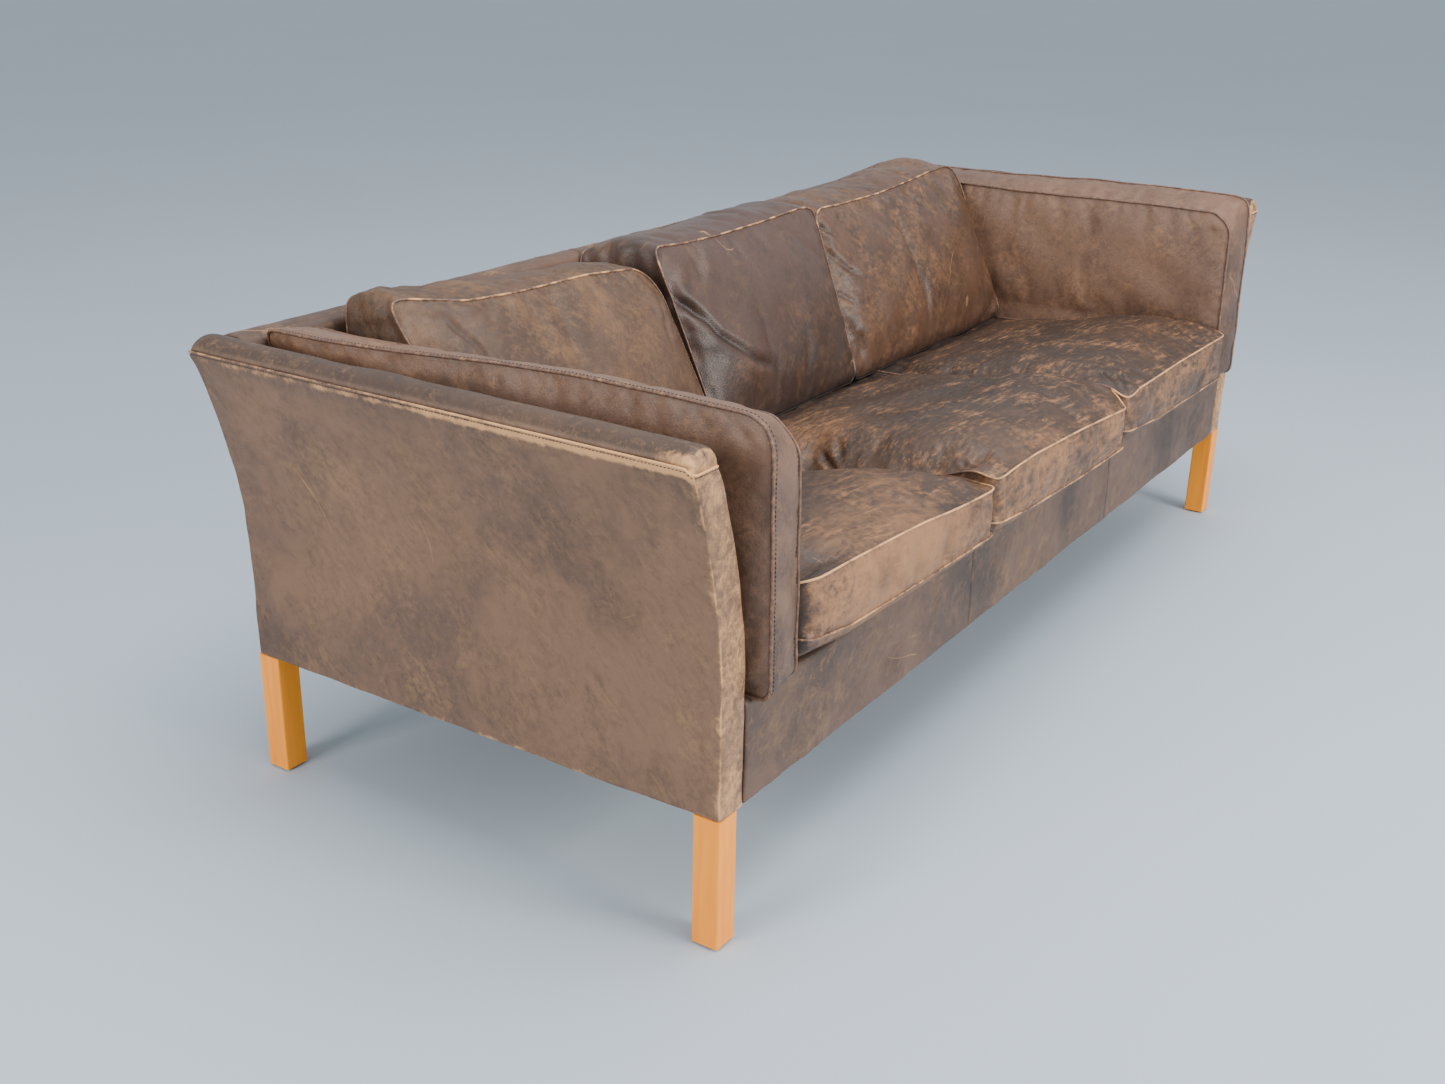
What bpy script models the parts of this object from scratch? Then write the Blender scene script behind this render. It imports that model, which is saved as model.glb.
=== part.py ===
"""A three-seat sofa in worn leather: flared end panels, a low back, loose box cushions and square wooden legs.

Metres, +Z up, the front faces -Y. The origin is on the floor, under the middle of the whole sofa.
"""
import math

import bmesh
import bpy

# Driving dimensions of the frame
FOOT_WIDTH = 2.000
FOOT_DEPTH = 0.827
FRAME_BOTTOM = 0.191
PANEL_SEAM_HEIGHT = 0.670
PANEL_CAP_RISE = 0.019
PANEL_THICKNESS = 0.055
PANEL_EDGE_ROUND = 0.005
FLARE_START = 0.364
FLARE_OUT = 0.0685
FLARE_POWER = 1.72
BACK_THICKNESS = 0.052
BACK_HEIGHT = 0.684
BACK_TOP_ROUND = 0.018
RAIL_TOP = 0.336
RAIL_COVER_DEPTH = 0.050

# Driving dimensions of the padding, the boards and the seat support
PAD_WALL = 0.014
PANEL_TOP_PAD = 0.031
BACK_TOP_PAD = 0.026
RAIL_TOP_PAD = 0.009
BOARD_THICKNESS = 0.022
STRAP_COUNT = 12
STRAP_WIDTH = 0.055
STRAP_THICKNESS = 0.003
CROSS_RAIL_HEIGHT = 0.060
CROSS_RAIL_SPACING = 0.600
BLOCK_LEG = 0.090
DUST_COVER_THICKNESS = 0.001
DUST_COVER_INSET = 0.006

# Driving dimensions of the legs
LEG_SECTION = 0.040
LEG_EDGE_ROUND = 0.002
GLIDE_RADIUS = 0.013
GLIDE_HEIGHT = 0.003
BOLT_RADIUS = 0.004
BOLT_IN_LEG = 0.030
BOLT_IN_BOARD = 0.040
BOLT_SETBACK = 0.027

# Driving dimensions of the cushions
ARM_PROUD = 0.026
ARM_THICKNESS = 0.080
ARM_PANEL_GAP = 0.0133
ARM_TOP = 0.704
ARM_CORNER = 0.018
SEAT_PROUD = 0.029
SEAT_BOXING = 0.108
SEAT_CROWN = 0.030
SEAT_REAR_DROP = 0.046
BACK_CUSHION_TOP = 0.700
BACK_CUSHION_TOP_DEPTH = 0.155
BACK_CUSHION_BOTTOM_DEPTH = 0.300
BACK_CROWN = 0.026
TOP_CROWN = 0.012
SIDE_CROWN = 0.004
CUSHION_COUNT = 3

# Clearances
GAP = 0.0003
BOLT_PLAY = 0.0003
CUSHION_GAP = 0.0010

# Places that follow from the dimensions
HALF_WIDTH = FOOT_WIDTH / 2
REAR_Y = (FOOT_DEPTH + max(ARM_PROUD, SEAT_PROUD)) / 2
FRONT_Y = REAR_Y - FOOT_DEPTH
PANEL_INNER_X = HALF_WIDTH - PANEL_THICKNESS
PANEL_TOP = PANEL_SEAM_HEIGHT + PANEL_CAP_RISE
BACK_FRONT_Y = REAR_Y - BACK_THICKNESS
STRAP_TOP = RAIL_TOP - RAIL_TOP_PAD - GAP
BOARD_TOP = STRAP_TOP - STRAP_THICKNESS - GAP
FRONT_BOARD_Y = FRONT_Y + PAD_WALL + GAP
FRONT_BOARD_REAR_Y = FRONT_BOARD_Y + BOARD_THICKNESS
BACK_RAIL_REAR_Y = BACK_FRONT_Y - GAP
BACK_RAIL_Y = BACK_RAIL_REAR_Y - BOARD_THICKNESS
BOARD_BETWEEN_X = PANEL_INNER_X - GAP
SIDE_RAIL_INNER_X = BOARD_BETWEEN_X - BOARD_THICKNESS
CUSHION_REAR_Y = BACK_FRONT_Y - CUSHION_GAP
CUSHION_BOTTOM = RAIL_TOP + GAP
SEAT_TOP = CUSHION_BOTTOM + SEAT_BOXING
SEAT_REAR_TOP = SEAT_TOP - SEAT_REAR_DROP
SEAT_FRONT_Y = FRONT_Y - SEAT_PROUD
BACK_CUSHION_FOOT_Y = CUSHION_REAR_Y - BACK_CUSHION_BOTTOM_DEPTH
PANEL_BOARD_X = HALF_WIDTH - PANEL_THICKNESS / 2
LEG_X = HALF_WIDTH - LEG_SECTION / 2
ARM_INNER_X = PANEL_INNER_X - ARM_PANEL_GAP - ARM_THICKNESS
SEAT_PITCH = (2 * ARM_INNER_X - CUSHION_GAP) / CUSHION_COUNT
SEAT_WIDTH = SEAT_PITCH - CUSHION_GAP

SIDES = (("left", -1), ("right", 1))
CURVE_STEPS = 8


def new_scene():
    """Empty the scene, and add the sofa's collection and one for the cutters."""
    for thing in list(bpy.data.objects):
        bpy.data.objects.remove(thing, do_unlink=True)
    parts = bpy.data.collections.new("leather_sofa")
    cutters = bpy.data.collections.new("cutters")
    bpy.context.scene.collection.children.link(parts)
    bpy.context.scene.collection.children.link(cutters)
    return parts, cutters


PARTS, CUTTERS = new_scene()


def material(name, colour, roughness, metallic=0.0):
    """Make a plain Principled material."""
    made = bpy.data.materials.new(name)
    made.use_nodes = True
    shader = made.node_tree.nodes["Principled BSDF"]
    shader.inputs["Base Color"].default_value = (*colour, 1.0)
    shader.inputs["Roughness"].default_value = roughness
    shader.inputs["Metallic"].default_value = metallic
    return made


LEATHER = material("worn_leather", (0.165, 0.090, 0.055), 0.48)
HONEY_WOOD = material("varnished_wood", (0.560, 0.310, 0.130), 0.35)
FRAME_WOOD = material("frame_wood", (0.480, 0.340, 0.200), 0.70)
WEBBING = material("rubber_webbing", (0.120, 0.085, 0.060), 0.80)
FELT = material("grey_felt", (0.180, 0.170, 0.160), 0.95)
DUST_CLOTH = material("black_cloth", (0.020, 0.020, 0.020), 0.95)
STEEL = material("zinc_steel", (0.560, 0.560, 0.540), 0.35, 1.0)
NYLON = material("dark_nylon", (0.080, 0.030, 0.025), 0.50)


def add(name, mesh, finish):
    """Put a finished mesh into the sofa's collection as one named piece."""
    piece = bpy.data.objects.new(name, mesh)
    piece.data.materials.clear()
    piece.data.materials.append(finish)
    PARTS.objects.link(piece)
    return piece


def mesh_from(bm, name):
    """Turn a bmesh into a mesh with its faces pointing out."""
    bmesh.ops.recalc_face_normals(bm, faces=bm.faces)
    mesh = bpy.data.meshes.new(name)
    bm.to_mesh(mesh)
    bm.free()
    return mesh


def box_bmesh(low, high):
    """Return a box between two corners."""
    bm = bmesh.new()
    bmesh.ops.create_cube(bm, size=1.0)
    for vert in bm.verts:
        for axis in range(3):
            middle = (low[axis] + high[axis]) / 2
            vert.co[axis] = middle + vert.co[axis] * (high[axis] - low[axis])
    return bm


def box(name, low, high, finish):
    """Add a plain board between two corners."""
    return add(name, mesh_from(box_bmesh(low, high), name), finish)


def outline_mesh(name, points, depth):
    """Fill a flat outline, extrude it by depth about its plane, and return it as a closed mesh."""
    curve = bpy.data.curves.new(name, "CURVE")
    curve.dimensions = "2D"
    curve.fill_mode = "BOTH"
    curve.extrude = depth / 2
    spline = curve.splines.new("POLY")
    spline.points.add(len(points) - 1)
    for target, (u, v) in zip(spline.points, points):
        target.co = (u, v, 0.0, 1.0)
    spline.use_cyclic_u = True
    holder = bpy.data.objects.new(name, curve)
    CUTTERS.objects.link(holder)
    graph = bpy.context.evaluated_depsgraph_get()
    mesh = bpy.data.meshes.new_from_object(holder.evaluated_get(graph))
    bpy.data.objects.remove(holder)
    bm = bmesh.new()
    bm.from_mesh(mesh)
    bmesh.ops.remove_doubles(bm, verts=bm.verts, dist=0.00005)
    flat = math.radians(0.5)
    bmesh.ops.dissolve_limit(bm, angle_limit=flat, verts=bm.verts, edges=bm.edges)
    bmesh.ops.recalc_face_normals(bm, faces=bm.faces)
    bm.to_mesh(mesh)
    bm.free()
    return mesh


def stand_up(mesh, middle_y):
    """Turn an outline drawn in X and Y so that it stands in X and Z, about middle_y."""
    for vert in mesh.vertices:
        u, v, w = vert.co
        vert.co = (u, middle_y - w, v)
    return mesh


def round_edges(mesh, chosen, radius, segments):
    """Round the edges of a mesh for which chosen(edge) is true."""
    bm = bmesh.new()
    bm.from_mesh(mesh)
    edges = [edge for edge in bm.edges if chosen(edge)]
    bmesh.ops.bevel(bm, geom=edges, offset=radius, segments=segments, affect="EDGES", profile=0.5)
    bm.to_mesh(mesh)
    bm.free()
    return mesh


def cut(piece, mesh):
    """Take the shape of a mesh out of a piece."""
    cutter = bpy.data.objects.new("cut_" + piece.name, mesh)
    cutter.hide_render = True
    cutter.display_type = "WIRE"
    CUTTERS.objects.link(cutter)
    boolean = piece.modifiers.new("cut", "BOOLEAN")
    boolean.operation = "DIFFERENCE"
    boolean.solver = "EXACT"
    boolean.object = cutter


def rod_mesh(name, radius, bottom, top, x, y, sides=16):
    """Return an upright round bar."""
    bm = bmesh.new()
    bmesh.ops.create_cone(bm, cap_ends=True, segments=sides, radius1=radius, radius2=radius, depth=top - bottom)
    bmesh.ops.translate(bm, verts=bm.verts, vec=(x, y, (top + bottom) / 2))
    return mesh_from(bm, name)


def flare(height):
    """How far the outer face of an end panel leans out at a height."""
    part = (height - FLARE_START) / (PANEL_SEAM_HEIGHT - FLARE_START)
    return FLARE_OUT * min(1.0, max(0.0, part)) ** FLARE_POWER


def flare_heights(bottom, top):
    """Heights from bottom to top on one shared ladder, so that flared faces that meet have the same facets."""
    step = (PANEL_SEAM_HEIGHT - FLARE_START) / CURVE_STEPS
    ladder = [FLARE_START + step * rung for rung in range(CURVE_STEPS + 1)]
    return [bottom] + [z for z in ladder if bottom < z < top] + [top]


def panel_outline(side, outer_inset, inner_inset, bottom, top):
    """Outline in X and Z of a flared panel, set in from both of its faces and cut off flat."""
    heights = flare_heights(bottom, top)
    outer = [(side * (HALF_WIDTH - outer_inset + flare(z)), z) for z in heights]
    inner = [(side * (PANEL_INNER_X + inner_inset + flare(z)), z) for z in reversed(heights)]
    return outer + inner


def capped_outline(side):
    """Outline in X and Z of a whole end panel, with its rounded cap."""
    heights = flare_heights(FRAME_BOTTOM, PANEL_SEAM_HEIGHT)
    outer = [(side * (HALF_WIDTH + flare(z)), z) for z in heights]
    inner = [(side * (PANEL_INNER_X + flare(z)), z) for z in reversed(heights)]
    cap = []
    for step in range(1, CURVE_STEPS):
        angle = math.pi * step / CURVE_STEPS
        across = PANEL_THICKNESS / 2 * (1 + math.cos(angle))
        x = PANEL_INNER_X + FLARE_OUT + across
        cap.append((side * x, PANEL_SEAM_HEIGHT + PANEL_CAP_RISE * math.sin(angle)))
    return outer + cap + inner


def end_panels():
    """Two padded leather end panels, open below, each over one curved board."""
    middle_y = (FRONT_Y + REAR_Y) / 2
    cavity_top = PANEL_TOP - PANEL_TOP_PAD
    for word, side in SIDES:
        cover_mesh = stand_up(outline_mesh("cover", capped_outline(side), FOOT_DEPTH), middle_y)

        def on_rim(edge):
            a, b = (vert.co for vert in edge.verts)
            at_end = abs(abs(a.y - middle_y) - FOOT_DEPTH / 2) < 0.0001
            below = max(a.z, b.z) < FRAME_BOTTOM + 0.0001
            return at_end and abs(a.y - b.y) < 0.0001 and not below

        round_edges(cover_mesh, on_rim, PANEL_EDGE_ROUND, 2)
        cover = add("end_cover_" + word, cover_mesh, LEATHER)
        hollow = panel_outline(side, PAD_WALL, PAD_WALL, FRAME_BOTTOM - PAD_WALL, cavity_top)
        cut(cover, stand_up(outline_mesh("hollow", hollow, FOOT_DEPTH - 2 * PAD_WALL), middle_y))
        inset = PAD_WALL + GAP
        shape = panel_outline(side, inset, inset, FRAME_BOTTOM, cavity_top - GAP)
        board_mesh = stand_up(outline_mesh("board", shape, FOOT_DEPTH - 2 * inset), middle_y)
        board = add("end_board_" + word, board_mesh, FRAME_WOOD)
        for end_y in (FRONT_Y + BOLT_SETBACK, REAR_Y - BOLT_SETBACK):
            top = FRAME_BOTTOM + BOLT_IN_BOARD + BOLT_PLAY
            hole = (BOLT_RADIUS + BOLT_PLAY, FRAME_BOTTOM - BOLT_IN_BOARD, top)
            cut(board, rod_mesh("hole", *hole, side * PANEL_BOARD_X, end_y))


def back_outline(inset, bottom, top):
    """Outline in X and Z of the back, which fills the space between the flared end panels."""
    heights = flare_heights(bottom, top)
    right = [(PANEL_INNER_X - GAP - inset + flare(z), z) for z in heights]
    left = [(-x, z) for x, z in reversed(right)]
    return right + left


def back():
    """The padded leather back, open below, over one flat board."""
    middle_y = REAR_Y - BACK_THICKNESS / 2
    outline = back_outline(0.0, FRAME_BOTTOM, BACK_HEIGHT)
    cover_mesh = stand_up(outline_mesh("cover", outline, BACK_THICKNESS), middle_y)

    def on_top(edge):
        a, b = (vert.co for vert in edge.verts)
        return min(a.z, b.z) > BACK_HEIGHT - 0.0001 and abs(a.y - b.y) < 0.0001

    round_edges(cover_mesh, on_top, BACK_TOP_ROUND, 4)
    cover = add("back_cover", cover_mesh, LEATHER)
    cavity_top = BACK_HEIGHT - BACK_TOP_PAD
    hollow = back_outline(PAD_WALL, FRAME_BOTTOM - PAD_WALL, cavity_top)
    cut(cover, stand_up(outline_mesh("hollow", hollow, BACK_THICKNESS - 2 * PAD_WALL), middle_y))
    inset = PAD_WALL + GAP
    shape = back_outline(inset, FRAME_BOTTOM, cavity_top - GAP)
    board_mesh = stand_up(outline_mesh("board", shape, BACK_THICKNESS - 2 * inset), middle_y)
    add("back_board", board_mesh, FRAME_WOOD)


def front_rail():
    """The leather-covered front rail: a cover folded over the top of one board."""
    top_rear = FRONT_Y + RAIL_COVER_DEPTH
    under = RAIL_TOP - RAIL_TOP_PAD
    inner = FRONT_Y + PAD_WALL
    section = [(FRONT_Y, FRAME_BOTTOM), (inner, FRAME_BOTTOM), (inner, under), (top_rear, under)]
    section += [(top_rear, RAIL_TOP), (FRONT_Y, RAIL_TOP)]
    mesh = outline_mesh("rail", section, 2 * BOARD_BETWEEN_X)
    for vert in mesh.vertices:
        y, z, x = vert.co
        vert.co = (x, y, z)

    def at_front_top(edge):
        a, b = (vert.co for vert in edge.verts)
        high = min(a.z, b.z) > RAIL_TOP - 0.0001
        return high and max(a.y, b.y) < FRONT_Y + 0.0001

    round_edges(mesh, at_front_top, RAIL_TOP_PAD, 3)
    add("front_rail_cover", mesh, LEATHER)
    low = (-BOARD_BETWEEN_X, FRONT_BOARD_Y, FRAME_BOTTOM)
    high = (BOARD_BETWEEN_X, FRONT_BOARD_REAR_Y, BOARD_TOP)
    box("front_rail_board", low, high, FRAME_WOOD)


def seat_frame():
    """The wooden rails, braces and corner blocks that carry the seat."""
    low = (-BOARD_BETWEEN_X, BACK_RAIL_Y, FRAME_BOTTOM)
    box("back_seat_rail", low, (BOARD_BETWEEN_X, BACK_RAIL_REAR_Y, BOARD_TOP), FRAME_WOOD)
    front = FRONT_BOARD_REAR_Y + GAP
    rear = BACK_RAIL_Y - GAP
    for word, side in SIDES:
        xs = sorted((side * BOARD_BETWEEN_X, side * SIDE_RAIL_INNER_X))
        box("side_rail_" + word, (xs[0], front, FRAME_BOTTOM), (xs[1], rear, BOARD_TOP), FRAME_WOOD)
        middle = side * CROSS_RAIL_SPACING / 2
        half = BOARD_THICKNESS / 2
        top = FRAME_BOTTOM + CROSS_RAIL_HEIGHT
        low = (middle - half, front, FRAME_BOTTOM)
        box("cross_rail_" + word, low, (middle + half, rear, top), FRAME_WOOD)
        for place, corner_y, inward in (("front", front, 1), ("rear", rear, -1)):
            x = side * (SIDE_RAIL_INNER_X - GAP)
            shape = [(x, corner_y), (x - side * BLOCK_LEG, corner_y), (x, corner_y + inward * BLOCK_LEG)]
            mesh = outline_mesh("block", shape, CROSS_RAIL_HEIGHT)
            for vert in mesh.vertices:
                vert.co.z += FRAME_BOTTOM + CROSS_RAIL_HEIGHT / 2
            add(f"corner_block_{place}_{word}", mesh, FRAME_WOOD)


def seat_support():
    """Rubber straps from front to back, the felt over them and the cloth under the frame."""
    span = 2 * SIDE_RAIL_INNER_X
    pitch = span / STRAP_COUNT
    bottom = BOARD_TOP + GAP
    for index in range(STRAP_COUNT):
        middle = -SIDE_RAIL_INNER_X + pitch * (index + 0.5)
        low = (middle - STRAP_WIDTH / 2, FRONT_BOARD_Y, bottom)
        high = (middle + STRAP_WIDTH / 2, BACK_RAIL_REAR_Y, bottom + STRAP_THICKNESS)
        box(f"webbing_strap_{index + 1:02d}", low, high, WEBBING)
    low = (-BOARD_BETWEEN_X, FRONT_Y + RAIL_COVER_DEPTH + GAP, STRAP_TOP + GAP)
    box("seat_felt", low, (BOARD_BETWEEN_X, BACK_RAIL_REAR_Y, RAIL_TOP), FELT)
    across = BOARD_BETWEEN_X - DUST_COVER_INSET
    low = (-across, FRONT_Y + DUST_COVER_INSET, FRAME_BOTTOM - GAP - DUST_COVER_THICKNESS)
    box("dust_cover", low, (across, REAR_Y - DUST_COVER_INSET, FRAME_BOTTOM - GAP), DUST_CLOTH)


def legs():
    """Four square legs, each with a screwed bolt above and a round glide below."""
    leg_bottom = GLIDE_HEIGHT + GAP
    leg_top = FRAME_BOTTOM - GAP
    half = LEG_SECTION / 2
    for word, side in SIDES:
        for place, face_y, inward in (("front", FRONT_Y, 1), ("rear", REAR_Y, -1)):
            name = f"{place}_{word}"
            x = side * LEG_X
            y = face_y + inward * half
            mesh = mesh_from(box_bmesh((x - half, y - half, leg_bottom), (x + half, y + half, leg_top)), "leg")

            def upright(edge):
                a, b = (vert.co for vert in edge.verts)
                return abs(a.z - b.z) > LEG_SECTION

            round_edges(mesh, upright, LEG_EDGE_ROUND, 2)
            leg = add("leg_" + name, mesh, HONEY_WOOD)
            bolt_x = side * PANEL_BOARD_X
            bolt_y = face_y + inward * BOLT_SETBACK
            bottom = leg_top - BOLT_IN_LEG
            hole = (BOLT_RADIUS + BOLT_PLAY, bottom - BOLT_PLAY, leg_top + BOLT_IN_LEG)
            cut(leg, rod_mesh("hole", *hole, bolt_x, bolt_y))
            bolt = rod_mesh("bolt", BOLT_RADIUS, bottom, FRAME_BOTTOM + BOLT_IN_BOARD, bolt_x, bolt_y)
            add("leg_bolt_" + name, bolt, STEEL)
            glide = rod_mesh("glide", GLIDE_RADIUS, 0.0, GLIDE_HEIGHT, x, y, 24)
            add("glide_" + name, glide, NYLON)


def dome(part):
    """A soft arch that is 1 in the middle of its range from -1 to 1, and 0 at both ends."""
    return max(0.0, 1.0 - part * part)


def cushion(name, low, high, loops, crown):
    """A padded box: a cage with chosen loops, swollen by crown(u, v, w), rounded by subdivision."""
    bm = box_bmesh(low, high)
    for axis, places in enumerate(loops):
        direction = [0.0, 0.0, 0.0]
        direction[axis] = 1.0
        for place in places:
            point = [0.0, 0.0, 0.0]
            point[axis] = low[axis] + (high[axis] - low[axis]) * place
            everything = bm.verts[:] + bm.edges[:] + bm.faces[:]
            bmesh.ops.bisect_plane(bm, geom=everything, plane_co=point, plane_no=direction)
    crease = bm.edges.layers.float.new("crease_edge")
    for edge in bm.edges:
        if edge.calc_face_angle(0.0) > math.radians(80):
            edge[crease] = 0.75
    for vert in bm.verts:
        part = [2 * (vert.co[a] - low[a]) / (high[a] - low[a]) - 1 for a in range(3)]
        move = crown(*part)
        for axis in range(3):
            vert.co[axis] += move[axis]
    mesh = mesh_from(bm, name)
    piece = add(name, mesh, LEATHER)
    rounding = piece.modifiers.new("rounding", "SUBSURF")
    rounding.levels = 1
    rounding.render_levels = 1
    for polygon in mesh.polygons:
        polygon.use_smooth = True
    return piece


def seat_cushions():
    """Three seat cushions, crowned in front, worn down to the rear and pressed flat under the back cushions."""
    length = CUSHION_REAR_Y - SEAT_FRONT_Y
    foot = (BACK_CUSHION_FOOT_Y - SEAT_FRONT_Y) / length
    loops = ((0.12, 0.5, 0.88), (foot * 0.12, foot * 0.45, foot * 0.75, foot * 0.9, foot), (0.5,))

    def crown(u, v, w):
        ahead = (v + 1) / (2 * foot)
        lift = dome(2 * ahead - 1) * (1 - u ** 4) if w > 0.99 and ahead < 0.85 else 0.0
        worn = SEAT_REAR_DROP * min(1.0, ahead / 0.9) * (w + 1) / 2
        return 0.0, 0.0, SEAT_CROWN * lift - worn

    for index in range(CUSHION_COUNT):
        left = -ARM_INNER_X + CUSHION_GAP + SEAT_PITCH * index
        low = (left, SEAT_FRONT_Y, CUSHION_BOTTOM)
        high = (left + SEAT_WIDTH, CUSHION_REAR_Y, SEAT_TOP)
        cushion(f"seat_cushion_{index + 1}", low, high, loops, crown)


def back_cushions():
    """Three back cushions, deeper at the foot than at the top, which lean on the back."""
    bottom = SEAT_REAR_TOP + GAP
    slope = BACK_CUSHION_BOTTOM_DEPTH - BACK_CUSHION_TOP_DEPTH
    loops = ((0.12, 0.5, 0.88), (0.5,), (0.15, 0.5, 0.85))

    def crown(u, v, w):
        forward = BACK_CROWN * dome(w) * (1 - u ** 4) if v < -0.99 else 0.0
        lift = TOP_CROWN * (1 - u ** 4) * dome(v) if w > 0.99 else 0.0
        set_back = slope * (w + 1) / 2 * (1 - v) / 2
        return 0.0, set_back - forward, lift

    for index in range(CUSHION_COUNT):
        left = -ARM_INNER_X + CUSHION_GAP + SEAT_PITCH * index
        low = (left, BACK_CUSHION_FOOT_Y, bottom)
        high = (left + SEAT_WIDTH, CUSHION_REAR_Y, BACK_CUSHION_TOP)
        cushion(f"back_cushion_{index + 1}", low, high, loops, crown)


def arm_cushions():
    """Two upright arm cushions, between the end panels and the seat."""
    loops = ((0.5,), (0.04, 0.35, 0.7, 0.96), (0.1, 0.5, 0.9))
    for word, side in SIDES:

        def crown(u, v, w):
            out = SIDE_CROWN * dome(w) * dome(v) if side * u > 0.99 else 0.0
            lift = SIDE_CROWN * dome(u) if w > 0.99 else 0.0
            corner = ARM_CORNER if v < -0.99 and w > 0.99 else 0.0
            return side * out, corner, lift - corner

        xs = sorted((side * ARM_INNER_X, side * (ARM_INNER_X + ARM_THICKNESS)))
        low = (xs[0], FRONT_Y - ARM_PROUD, CUSHION_BOTTOM)
        cushion("arm_cushion_" + word, low, (xs[1], CUSHION_REAR_Y, ARM_TOP), loops, crown)


end_panels()
back()
front_rail()
seat_frame()
seat_support()
legs()
seat_cushions()
back_cushions()
arm_cushions()
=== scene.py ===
import math

import bpy
import numpy as np
from mathutils import Matrix, Vector


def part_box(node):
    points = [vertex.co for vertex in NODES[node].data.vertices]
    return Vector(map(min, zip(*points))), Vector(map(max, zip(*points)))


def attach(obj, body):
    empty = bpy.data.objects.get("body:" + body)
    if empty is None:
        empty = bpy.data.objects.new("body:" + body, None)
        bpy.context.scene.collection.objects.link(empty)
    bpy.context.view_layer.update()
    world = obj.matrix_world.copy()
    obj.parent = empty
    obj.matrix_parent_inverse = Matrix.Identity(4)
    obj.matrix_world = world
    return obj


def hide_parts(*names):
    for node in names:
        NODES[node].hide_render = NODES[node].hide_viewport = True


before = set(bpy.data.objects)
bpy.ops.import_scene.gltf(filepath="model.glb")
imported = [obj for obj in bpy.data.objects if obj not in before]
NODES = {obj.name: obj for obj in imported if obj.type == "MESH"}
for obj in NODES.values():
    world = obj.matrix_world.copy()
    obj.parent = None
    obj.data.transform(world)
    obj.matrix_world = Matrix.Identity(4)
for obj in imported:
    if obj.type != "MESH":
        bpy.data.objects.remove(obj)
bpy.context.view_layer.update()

# The two end panels are curved boards in thin felt and dark brown leather. They flare outwards over the arms.
# A leather cap is rolled over the top edge and topstitched outside, and a narrow strip closes the front.
# Hands have rubbed the seam, the corners and the strip pale, and the lower edge is chipped.
FLARE_START = 0.364
FLARE_OUT = 0.0685
FLARE_POWER = 1.72
PANEL_SEAM = 0.670
CAP_RISE = 0.019
CAP_CORNER = 0.012
CAP_SEAM_HIGH = 0.669
CAP_SEAM_CORNER = 0.661
PANEL_THICK = 0.055
FRAME_LOW = 0.191
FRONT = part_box("end_cover_left")[0].y
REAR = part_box("end_cover_left")[1].y


class Value:
    """One socket in a material. Arithmetic on it adds Math nodes, so shader maths reads as an expression."""

    def __init__(self, finish, socket):
        self.finish = finish
        self.socket = socket

    def math(self, operation, first, second):
        return self.finish.node("ShaderNodeMath", {"operation": operation}, {0: first, 1: second})

    def __add__(self, other):
        return self.math("ADD", self, other)

    def __radd__(self, other):
        return self.math("ADD", other, self)

    def __sub__(self, other):
        return self.math("SUBTRACT", self, other)

    def __rsub__(self, other):
        return self.math("SUBTRACT", other, self)

    def __mul__(self, other):
        return self.math("MULTIPLY", self, other)


class Finish:
    """One procedural material, built node by node up to its Principled shader."""

    def __init__(self, name):
        self.material = bpy.data.materials.new(name)
        self.material.use_nodes = True
        self.tree = self.material.node_tree
        self.shader = self.tree.nodes["Principled BSDF"]
        self.place = self.node("ShaderNodeTexCoord", {}, {}, "Object")

    def node(self, kind, settings, inputs, output=0):
        made = self.tree.nodes.new(kind)
        for key, value in settings.items():
            setattr(made, key, value)
        for key, value in inputs.items():
            self.plug(made.inputs[key], value)
        return Value(self, made.outputs[output])

    def plug(self, socket, value):
        if isinstance(value, Value):
            self.tree.links.new(value.socket, socket)
        else:
            socket.default_value = value

    def at(self, stretch=(1, 1, 1), shift=(0, 0, 0), turn=(0, 0, 0)):
        """Object coordinates, turned, stretched and shifted."""
        inputs = {"Vector": self.place, "Rotation": turn}
        turned = self.node("ShaderNodeVectorRotate", {"rotation_type": "EULER_XYZ"}, inputs)
        settings = {"operation": "MULTIPLY_ADD"}
        return self.node("ShaderNodeVectorMath", settings, {0: turned, 1: stretch, 2: shift})

    def noise(self, scale, detail=4.0, rough=0.55, where=None, warp=0.0):
        inputs = {"Scale": scale, "Detail": detail, "Roughness": rough, "Distortion": warp}
        inputs["Vector"] = where or self.place
        return self.node("ShaderNodeTexNoise", {}, inputs)

    def cells(self, scale, feature="F1", where=None):
        inputs = {"Scale": scale, "Vector": where or self.place}
        return self.node("ShaderNodeTexVoronoi", {"feature": feature}, inputs)

    def band(self, value, low, high):
        """0 below low, 1 above high, and smooth between them."""
        inputs = {"Value": value, "From Min": low, "From Max": high}
        return self.node("ShaderNodeMapRange", {"interpolation_type": "SMOOTHSTEP"}, inputs)

    def mix(self, factor, first, second, blend="MIX"):
        settings = {"data_type": "RGBA", "blend_type": blend}
        return self.node("ShaderNodeMix", settings, {0: factor, 6: first, 7: second}, 2)

    def painted(self, name):
        """A value kept on the mesh's points."""
        return self.node("ShaderNodeAttribute", {"attribute_name": name}, {}, "Fac")

    def bump(self, height, distance, strength=1.0):
        inputs = {"Height": height, "Distance": distance, "Strength": strength}
        normal = self.node("ShaderNodeBump", {}, inputs)
        self.plug(self.shader.inputs["Normal"], normal)

    def set(self, **inputs):
        for key, value in inputs.items():
            self.plug(self.shader.inputs[key.replace("_", " ").title().replace("Ior", "IOR")], value)


def colour(red, green, blue):
    """An sRGB colour in 0 to 255 as the linear one that a socket holds."""
    return (*[((c / 255 + 0.055) / 1.055) ** 2.4 for c in (red, green, blue)], 1.0)


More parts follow.
